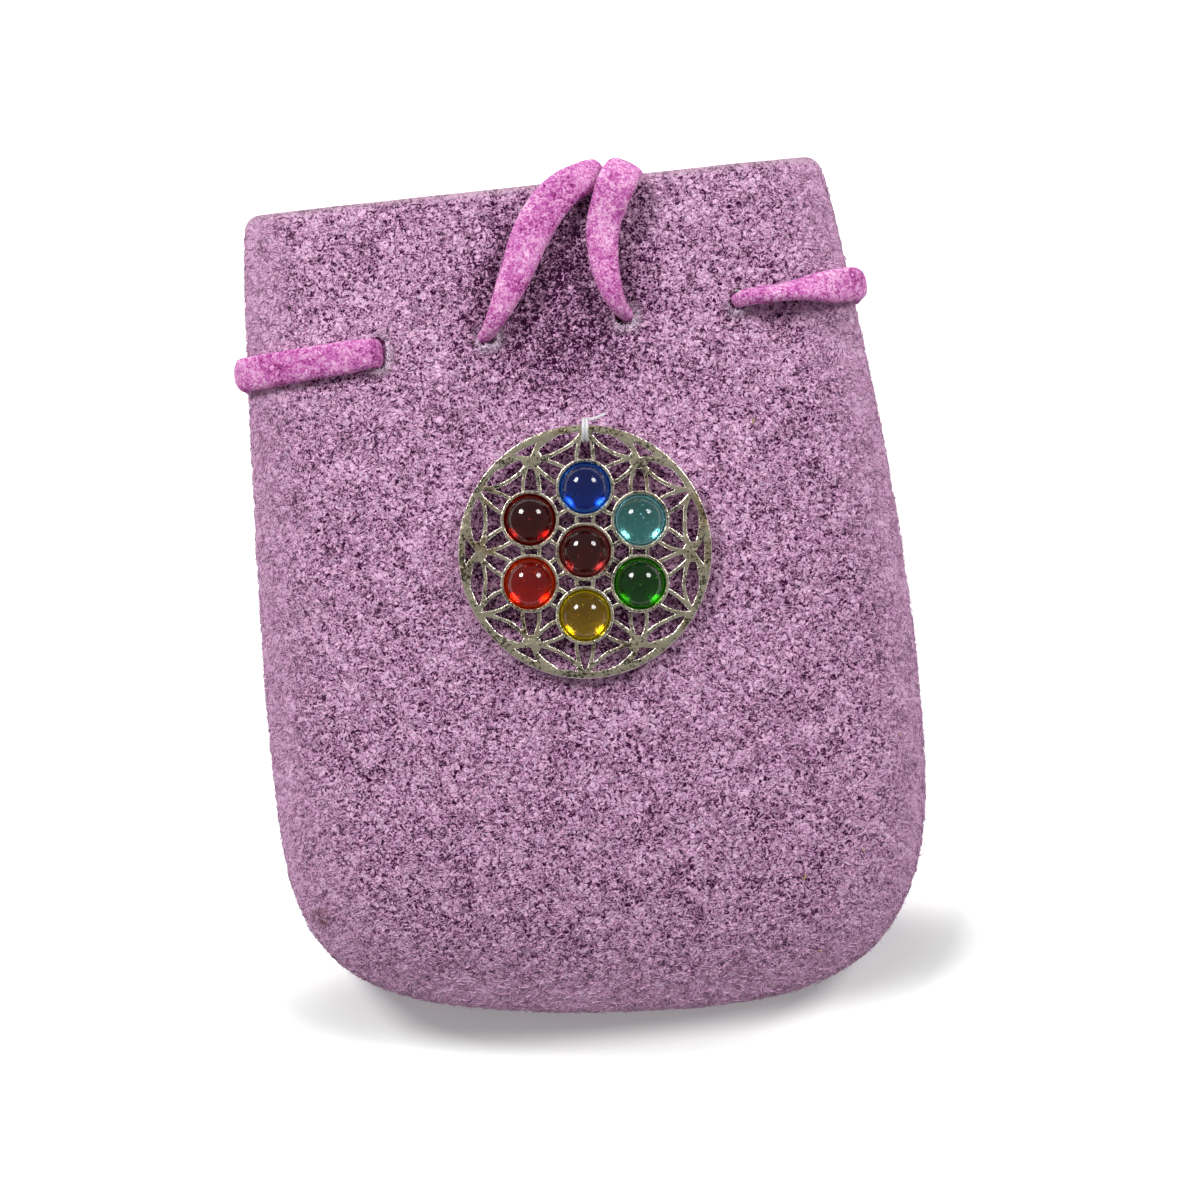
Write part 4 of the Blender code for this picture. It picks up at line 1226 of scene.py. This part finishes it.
def round_region(inside, outside):
    """The outline of what lies in all the circles of inside and in none of outside, as points."""
    slack = 1e-7

    def holds(point):
        return all((point - c).length < r + slack for c, r in inside) and all(
            (point - c).length > r - slack for c, r in outside
        )

    arcs = []
    circles = inside + outside
    for circle in circles:
        middle, radius = circle
        others = [other for other in circles if other is not circle]
        corners = [p for other in others for p in circle_meetings(circle, other) if holds(p)]
        angles = sorted({round(math.atan2(*(p - middle).yx), 7) for p in corners})
        for low, high in zip(angles, angles[1:] + [a + 2 * math.pi for a in angles[:1]]):
            turn = (low + high) / 2
            if high - low > 1e-5 and holds(middle + Vector((math.cos(turn), math.sin(turn))) * radius):
                steps = max(2, math.ceil((high - low) * radius / ARC_STEP))
                turns = [low + (high - low) * k / steps for k in range(steps + 1)]
                arcs.append([middle + Vector((math.cos(t), math.sin(t))) * radius for t in turns])
    if not arcs:
        return []
    outline = arcs.pop(0)
    while arcs:
        end = outline[-1]
        arc = min(arcs, key=lambda a: min((a[0] - end).length, (a[-1] - end).length))
        arcs.remove(arc)
        outline += arc[1:] if (arc[0] - end).length < (arc[-1] - end).length else arc[-2::-1]
    return outline[:-1]


print("the lattice has", len(lattice_points(1)), "cups")

# %% [markdown]
# Petals and triangles
# Petals lie between neighbouring points of the lattice, and curved triangles among three of them. The
# circles are drawn half a line's width smaller or larger, and that leaves the metal lines between.

# %% Lattice holes
LINE_SPACING = 7.4 * MM
LINE_WIDTH = 0.52 * MM
BAND_WIDTH = 0.92 * MM
SMALLEST_HOLE = 0.12 * MM * MM


def area_of(outline):
    return sum(a.x * b.y - b.x * a.y for a, b in zip(outline, outline[1:] + outline[:1])) / 2


def lattice_holes():
    """Petals between neighbouring lattice points and the curved triangles among them, inside the rim."""
    rim = (Vector((0, 0)), RIM_RADIUS - BAND_WIDTH)
    points = lattice_points(3, LINE_SPACING)
    within, without = LINE_SPACING - LINE_WIDTH / 2, LINE_SPACING + LINE_WIDTH / 2
    reach = 1.1 * LINE_SPACING
    near = {i: [j for j, q in enumerate(points) if 0 < (p - q).length < reach] for i, p in enumerate(points)}
    holes = []
    for i, p in enumerate(points):
        for j in near[i]:
            q = points[j]
            if i < j and ((p + q) / 2).length < RIM_RADIUS:
                sides = Vector((-(q - p).y, (q - p).x)) * math.sqrt(3) / 2
                holes.append(round_region([rim] + [((p + q) / 2 + sides * s, within) for s in (1, -1)], []))
            for k in near[j]:
                r = points[k]
                if i < j < k and k in near[i] and ((p + q + r) / 3).length < RIM_RADIUS:
                    reflected = [(b + c - a, without) for a, b, c in ((p, q, r), (q, r, p), (r, p, q))]
                    holes.append(round_region([rim] + [(a, LINE_SPACING) for a in (p, q, r)], reflected))
    return [hole for hole in holes if len(hole) > 2 and abs(area_of(hole)) > SMALLEST_HOLE]


open_regions = lattice_holes()
print("petals and triangles:", len(open_regions))

# %% [markdown]
# Knots, wedges and uneven lines
# Where the casting's lines meet, molten metal filled the corners, so holes keep clear of those knots.
# The outer ones became small stars, with a narrow wedge between each and the rim. No line of a cheap
# casting is quite even, so a slow noise moves each outline a tenth of a millimetre.

# %% Knots, wedges and uneven lines
CAST_BEVEL = 0.16 * MM
WEDGE_TIP = 13.1 * MM
WEDGE_HALF = math.radians(6.4)
STAR_RADIUS = 1.1 * MM
NODE_RADIUS = 0.8 * MM
UNEVEN = 0.11 * MM
UNEVEN_SIZE = 1.6 * MM
SHARPEST = 0.7


def grown(outline, amount):
    """A closed outline with every point moved outwards, further at its corners."""
    if area_of(outline) < 0:
        outline = outline[::-1]
    found = []
    for before, point, after in zip(outline[-1:] + outline[:-1], outline, outline[1:] + outline[:1]):
        one, two = (Vector((v.y, -v.x)).normalized() for v in (point - before, after - point))
        way = (one + two).normalized()
        found.append(point + way * amount / max(way.dot(one), SHARPEST))
    return found


def wedge(turn):
    """The small hole between a star and the rim."""
    base = [(RIM_RADIUS - BAND_WIDTH, turn + WEDGE_HALF * share) for share in np.linspace(-1, 1, 9)]
    return [Vector((math.cos(t), math.sin(t))) * r for r, t in [(WEDGE_TIP, turn)] + base]


def blunted(outline):
    """An outline that keeps clear of the lattice's knots, where the casting is filled."""
    found = []
    for point in outline:
        knot = min(lattice_points(1.8, LINE_SPACING), key=lambda k: (point - k).length)
        radius = STAR_RADIUS if knot.length > 1.5 * LINE_SPACING else NODE_RADIUS
        off = point - knot
        found.append(knot + off.normalized() * max(radius, off.length))
    return found


def uneven(outline):
    return [point + noise.noise_vector((*point / UNEVEN_SIZE, 0)).xy * UNEVEN for point in outline]


holes = [blunted(grown(hole, CAST_BEVEL)) for hole in open_regions]
holes += [grown(wedge(turn), CAST_BEVEL) for turn in np.radians(range(0, 360, 60))]
print("lattice has", len(holes), "holes")

# %% [markdown]
# Antique silver
# Cast white metal that was blackened and then rubbed: the tops and edges are bright and satin, and
# dark is left in the pits. How far a surface leans from the flat tells an edge from a top, and the
# bevels are tinted brightest: painted highlight over the rubbed metal. A brownish tarnish lies on it in
# slow patches. The bowls under the stones have no pits, because the clear glass would show them as
# black spots.

# %% Silver finish
SILVER = linear(212, 202, 176)
# Painted highlight: the near white that the bevels get, over rubbed bare metal.
SILVER_EDGE_HIGHLIGHT = linear(255, 252, 246)
SILVER_DARK = linear(24, 14, 22)
TARNISH = linear(168, 140, 96)
BOWL_LEVEL = PENDANT_Z / MM + 1.1

silver, graph, shader = new_material("antique_silver", Metallic=1.0)
place = graph.millimetres()
facing = graph.add("SeparateXYZ", Vector=graph.add("TexCoord").outputs["Normal"]).outputs["Z"]
edge = graph.remap(facing, 0.97, 0.75)
pits = graph.noise(place, 3.2, 3, 0.62)
blotch = graph.noise(place, 0.42, 3, 0.6)
pit_mask = graph.remap(graph.blend(0.4, pits, blotch), 0.51, 0.565)
pit_mask = graph.maths("MULTIPLY", pit_mask, graph.blend(edge, 0.9, 0.2))
level = graph.add("SeparateXYZ", Vector=place).outputs["Z"]
in_bowl = graph.remap(level, BOWL_LEVEL, BOWL_LEVEL - 0.15)
in_bowl = graph.maths("MULTIPLY", in_bowl, graph.remap(facing, 0.1, 0.5))
pit_mask = graph.maths("MULTIPLY", pit_mask, graph.blend(in_bowl, 1.0, 0.0))
tarnished = graph.remap(graph.noise(place, 0.22, 2, 0.5), 0.52, 0.7, 0.0, 0.6)
colour = graph.tint(tarnished, SILVER, TARNISH)
# Painted highlight: the bevels are tinted near white by how far they lean.
colour = graph.tint(edge, colour, SILVER_EDGE_HIGHLIGHT)
colour = graph.tint(pit_mask, colour, SILVER_DARK)
rough = graph.blend(edge, graph.blend(pit_mask, 0.3, 0.6), 0.2)
relief = graph.bump(graph.blend(0.3, graph.noise(place, 1.2, 1), pits), 0.2 * MM)
graph.feed(shader.inputs, Base_Color=colour, Roughness=rough, Normal=relief)
print("silver finish ready")

# %% [markdown]
# Turned pieces
# Cups and stones are round, so each is drawn as half a section and turned about its axis by the Screw
# modifier, as on a lathe.

# %% Turned pieces
TURN_STEPS = 64


def turned(name, profile):
    """A piece turned about Z from a profile of (radius, height), by the Screw modifier."""
    mesh = bpy.data.meshes.new(name)
    mesh.from_pydata([(r, 0, z) for r, z in profile], [(i, i + 1) for i in range(len(profile) - 1)], [])
    piece = bpy.data.objects.new(name, mesh)
    bpy.context.scene.collection.objects.link(piece)
    steps = {"steps": TURN_STEPS, "render_steps": TURN_STEPS}
    apply_modifier(piece, "SCREW", use_merge_vertices=True, merge_threshold=0.01 * MM, **steps)
    tidy_mesh(piece)
    return piece


def lip(radius_in, radius_out, top, ease, steps=4):
    """A rounded lip between an outer and an inner wall, from outside to inside."""
    turns = [math.pi / 2 * k / steps for k in range(steps + 1)]
    outer = [(radius_out - ease * (1 - math.cos(t)), top - ease * (1 - math.sin(t))) for t in turns]
    inner = [(radius_in + ease * (1 - math.sin(t)), top - ease * (1 - math.cos(t))) for t in turns]
    return outer + inner


print("round pieces have", TURN_STEPS, "sides")

# %% [markdown]
# The casting's plate
# The outline and all holes are flat curves, and the curve's own extrude and bevel make the plate, with
# soft cast edges.

# %% Plate of the casting
RIM_STEPS = 360

flat = bpy.data.curves.new("casting", "CURVE")
flat.dimensions = "2D"
flat.fill_mode = "BOTH"
flat.extrude = PLATE_THICKNESS / 2 - CAST_BEVEL
flat.bevel_depth = CAST_BEVEL
flat.bevel_resolution = 2
rim_turns = np.linspace(0, 2 * math.pi, RIM_STEPS, endpoint=False)
rim_line = [Vector((math.cos(t), math.sin(t))) * (RIM_RADIUS - CAST_BEVEL) for t in rim_turns]
for outline in [rim_line] + [uneven(hole) for hole in holes]:
    spline = flat.splines.new("POLY")
    spline.use_cyclic_u = True
    spline.points.add(len(outline) - 1)
    for at, point in zip(spline.points, outline):
        at.co = (point.x, point.y, 0, 1)
casting = bpy.data.objects.new("casting", flat)
bpy.context.scene.collection.objects.link(casting)
casting.location.z = PLATE_THICKNESS / 2
select_only(casting)
bpy.ops.object.convert(target="MESH")
bpy.ops.object.transform_apply(location=True, rotation=True, scale=True)
casting = bpy.context.object
tidy_mesh(casting)
print("the plate has", len(casting.data.polygons), "faces")

# %% [markdown]
# The cups
# One cup is turned and copied to the seven places. The plate is bored out under the cups first, and
# then the cups are joined on with a Boolean, so the whole is one piece, as the real casting is.

# %% Cups of the casting
CUP_RADIUS = 3.5 * MM
CUP_BORE = 3.06 * MM
CUP_BASE = 0.05 * MM
CUP_TOP = 2.3 * MM
CUP_LIP = 0.16 * MM
BORE_RADIUS = CUP_BORE + 0.02 * MM
BORE_BASE = 0.3 * MM
BORE_TOP = 9 * MM
BOWL = (
    (3.06, 1.75), (3.0, 1.4), (2.84, 1.1), (2.55, 0.85), (2.1, 0.66), (1.5, 0.55), (0.8, 0.51), (0.0, 0.5)
)


def on_every_place(pattern):
    """Seven copies of a piece, one at each cup's place, joined into one."""
    copies = []
    for spot in lattice_points(1):
        copy = pattern.copy()
        copy.data = pattern.data.copy()
        bpy.context.scene.collection.objects.link(copy)
        copy.location = (spot.x, spot.y, 0)
        copies.append(copy)
    bpy.data.objects.remove(pattern, do_unlink=True)
    select_only(*copies)
    bpy.ops.object.join()
    bpy.ops.object.transform_apply(location=True, rotation=True, scale=True)
    return bpy.context.object


cup_profile = [(0, CUP_BASE), (CUP_RADIUS, CUP_BASE)] + lip(CUP_BORE, CUP_RADIUS, CUP_TOP, CUP_LIP)
cups = on_every_place(turned("cup", cup_profile + [(r * MM, z * MM) for r, z in BOWL]))
bore_profile = [(0, BORE_TOP), (BORE_RADIUS, BORE_TOP), (BORE_RADIUS, BORE_BASE), (0, BORE_BASE)]
bores = on_every_place(turned("bore", bore_profile))
apply_modifier(casting, "BOOLEAN", operation="DIFFERENCE", object=bores, solver="EXACT")
apply_modifier(casting, "BOOLEAN", operation="UNION", object=cups, solver="EXACT")
for cutter in (cups, bores):
    bpy.data.objects.remove(cutter, do_unlink=True)
casting.data.transform(pendant_place)
smooth(casting, 32)
finish_piece(casting, "pendant", silver, "silver", "pendant_casting")

# %% [markdown]
# Glass stones
# Each stone is a low dome with a straight girdle, turned from a profile. The glass is tinted and clear,
# so its crescents of light come from the cup's bright wall behind it, and the pairs of small highlights
# from the lamps. Dark stones are only tinted more.

# %% Stones
STONE_RADIUS = 2.97 * MM
STONE_BASE = 0.62 * MM
GLASS_GIRDLE = 1.2 * MM
GLASS_DOME = 2.08 * MM
DOME_STEPS = 16
BOWL_GAP = (0.09, 0.11)
STONES = {
    "garnet": ((0, 0), (156, 62, 62)),
    "blue": ((0, 1), (56, 116, 226)),
    "aqua": ((math.sqrt(3) / 2, 0.5), (154, 222, 234)),
    "green": ((math.sqrt(3) / 2, -0.5), (60, 158, 12)),
    "yellow": ((0, -1), (222, 198, 24)),
    "orange": ((-math.sqrt(3) / 2, -0.5), (238, 62, 4)),
    "red": ((-math.sqrt(3) / 2, 0.5), (156, 24, 18)),
}

ball = (STONE_RADIUS**2 + GLASS_DOME**2) / (2 * GLASS_DOME)
widest = math.asin(STONE_RADIUS / ball)
dome_turns = [widest * k / DOME_STEPS for k in range(DOME_STEPS + 1)]
stone_top = STONE_BASE + GLASS_GIRDLE + GLASS_DOME
stone_profile = [(ball * math.sin(t), stone_top - ball * (1 - math.cos(t))) for t in dome_turns]
stone_profile += [(max(r - BOWL_GAP[0], 0) * MM, (z + BOWL_GAP[1]) * MM) for r, z in BOWL]
for hue, (place, shown) in STONES.items():
    finish, _, _ = new_material(
        hue + "_glass", Base_Color=linear(*shown), Roughness=0.08, IOR=1.5, Transmission_Weight=1.0,
        Specular_IOR_Level=0.3,
    )
    stone = turned("stone_" + hue, stone_profile)
    stone.data.transform(pendant_place @ Matrix.Translation((place[0] * LATTICE, place[1] * LATTICE, 0)))
    smooth(stone, 40)
    finish_piece(stone, "pendant", finish, hue + "_glass", "cabochon_" + hue)

# %% [markdown]
# Bubbles and flakes
# Hand poured glass has small bubbles, and in the yellow, orange and dark red stones there are a few
# flakes of gold foil. They are tiny balls strewn by seeded chance inside each dome.

# %% Bubbles and flakes
INCLUSIONS = {
    "bubbles": (
        linear(214, 224, 226), {"aqua": 26, "blue": 9, "green": 9, "yellow": 5, "orange": 4, "red": 3}
    ),
    "gold_flakes": (linear(226, 178, 84), {"garnet": 12, "yellow": 9, "orange": 12}),
}
STREWN_OUT = 2.3 * MM
STREWN_UP = 1.1 * MM


def strew_balls(name, counts, finish, seed):
    """Tiny balls inside the domes, fewer near the outside, as one piece."""
    rng = np.random.default_rng(seed)
    balls = []
    for hue, count in counts.items():
        middle = Vector(STONES[hue][0]) * LATTICE
        turns, *chances = rng.uniform(0, 2 * math.pi, count), *(rng.random(count) for _ in range(3))
        for turn, share, level, size in zip(turns, *chances):
            out = STREWN_OUT * math.sqrt(share)
            z = STREWN_UP + level * 0.55 * (stone_top - 1.2 * MM) * (1 - share)
            select_only()
            bpy.ops.mesh.primitive_ico_sphere_add(subdivisions=1, radius=(0.05 + 0.1 * size**2) * MM)
            ball = bpy.context.object
            spot = (middle.x + out * math.cos(turn), middle.y + out * math.sin(turn), z)
            ball.data.transform(pendant_place @ Matrix.Translation(spot))
            balls.append(ball)
    select_only(*balls)
    bpy.ops.object.join()
    piece = named(name)
    smooth(piece, 80)
    finish_piece(piece, "pendant", finish, "aqua_glass")


for seed, (name, (colour, counts)) in enumerate(INCLUSIONS.items(), 51):
    strew_balls(name, counts, new_material(name, Base_Color=colour, Roughness=0.35)[0], seed)

# %% [markdown]
# The nylon loop
# A clear strand goes twice round the rim's top, through the needle hole in the front panel, and is
# knotted inside. One cut end sticks out to the upper right, as in the photograph. Its places are in
# millimetres from the middle of the rim's top.

# %% Nylon loop
STRAND = 0.4 * MM
STRAND_SHIFTS = (-0.2, 0.21)
RING_RADIUS = 1.3
STEM_BEND = -1.75
CUT_END = [(0.2, 1.2, -0.3), (0.8, 1.3, -0.4), (1.5, 1.5, -0.48), (2.4, 1.95, -0.52)]
KNOT_RADIUS = 0.75 * MM

nylon, _, _ = new_material(
    "clear_nylon", Base_Color=linear(252, 252, 254), Roughness=0.25, IOR=1.5, Transmission_Weight=0.3
)
to_rim = Matrix.Translation(rim_top) @ Matrix.Rotation(PENDANT_TURN, 4, "Z")
skin_z = front_face(rim_top.x, MOUTH_Y - rim_top.y)
down = (skin_z - WALL - rim_top.z) / MM - 0.8


def strand(name, route):
    """A round strand along its route, and its length."""
    rows = [(*(to_rim @ (Vector(p) * MM)), STRAND, STRAND, 0) for p in route]
    piece, line = ribbon(name, rows, (1, 0, 0.01), sides=8, power=2.0, step=0.15 * MM, end_ease=0.15 * MM)
    print(name, "is", round(length_along(line)[-1] / MM, 1), "mm long")
    return piece


turns = []
for k, shift in enumerate(STRAND_SHIFTS):
    bend = RING_RADIUS + 0.03 * k
    ring = [(shift, bend * math.cos(t), bend * math.sin(t)) for t in np.radians(range(-60, 241, 30))]
    up = [(shift * 0.5, 0.05, down), (shift * 0.6, 0.1, STEM_BEND)]
    back = [(shift * 0.6, -0.1, STEM_BEND), (shift * 0.5, -0.05, down)]
    turns.append(strand(f"loop_turn_{k}", up + ring + back))
turns.append(strand("loop_end", CUT_END))
select_only()
bpy.ops.mesh.primitive_uv_sphere_add(segments=20, ring_count=12, radius=KNOT_RADIUS)
knot = named("loop_knot")
knot.data.transform(Matrix.Translation(to_rim @ Vector((0, 0, down * MM))))
ripple(knot, 0.5 * MM, 0.3 * MM)
select_only(*turns, knot)
bpy.ops.object.join()
loop = named("nylon_loop")
smooth(loop, 50)
finish_piece(loop, "loop", nylon, "nylon", "hanging_loop")

# %% [markdown]
# The seam's thread
# Inside, the two panels are held by a running stitch through their seam allowance. It can't be seen
# from outside, but anyone who looks in at the mouth would miss it.

# %% Seam thread
THREAD = 0.3 * MM
STITCH = 3.0 * MM
SEAM_IN = 2.6 * MM

edge_line = [(-1.0, step) for step in np.linspace(-0.97, 1, 90)]
edge_line += [(u, 1.0) for u in np.linspace(-1, 1, 120)[1:-1]]
edge_line += [(1.0, step) for step in np.linspace(1, -0.97, 90)]
inner = []
for u, w in edge_line:
    point, out = edge_direction(u, w)
    place = point - out * SEAM_IN
    inner.append((place.x, MOUTH_Y - place.y, SEAM_HEIGHT))
inner = evenly(np.array(inner), STITCH / 2)
rows = []
level = WALL + 0.2 * MM
for i, (point, after) in enumerate(zip(inner, inner[1:])):
    side = 1 if i % 2 else -1
    for share in (0.12, 0.5, 0.88):
        spot = point * (1 - share) + after * share
        rows.append((spot[0], spot[1], SEAM_HEIGHT + side * level, THREAD, THREAD, 0))
thread_finish, _, _ = new_material("seam_thread", Base_Color=linear(150, 104, 142), Roughness=0.8)
thread, line = ribbon("seam_thread", rows, (0, 0, 1), sides=6, power=2.0)
print("the thread is", round(length_along(line)[-1] / MM), "mm long")
smooth(thread, 60)
finish_piece(thread, "pouch", thread_finish, "suede")

# %% [markdown]
# Straw flecks
# Five tiny flecks of straw cling to the nap, at the places where the photograph shows them.

# %% Straw flecks
FLECKS = ((753, 422), (901, 735), (805, 877), (821, 953), (864, 851))
FLECK_SIZE = (0.9 * MM, 0.2 * MM, 0.12 * MM)
straw, _, _ = new_material("straw", Base_Color=linear(196, 168, 112), Roughness=0.8)
spots = []
for spot in FLECKS:
    x, y = picture_place(*spot)
    spots.append((x, y, front_face(x, MOUTH_Y - y) + 0.12 * MM))
facing = np.tile((0.1, 0, 1.0), (len(spots), 1))
flecks = strew_fibres("straw_flecks", np.array(spots), facing, 5, *FLECK_SIZE)
finish_piece(flecks, "pouch", straw, "suede")
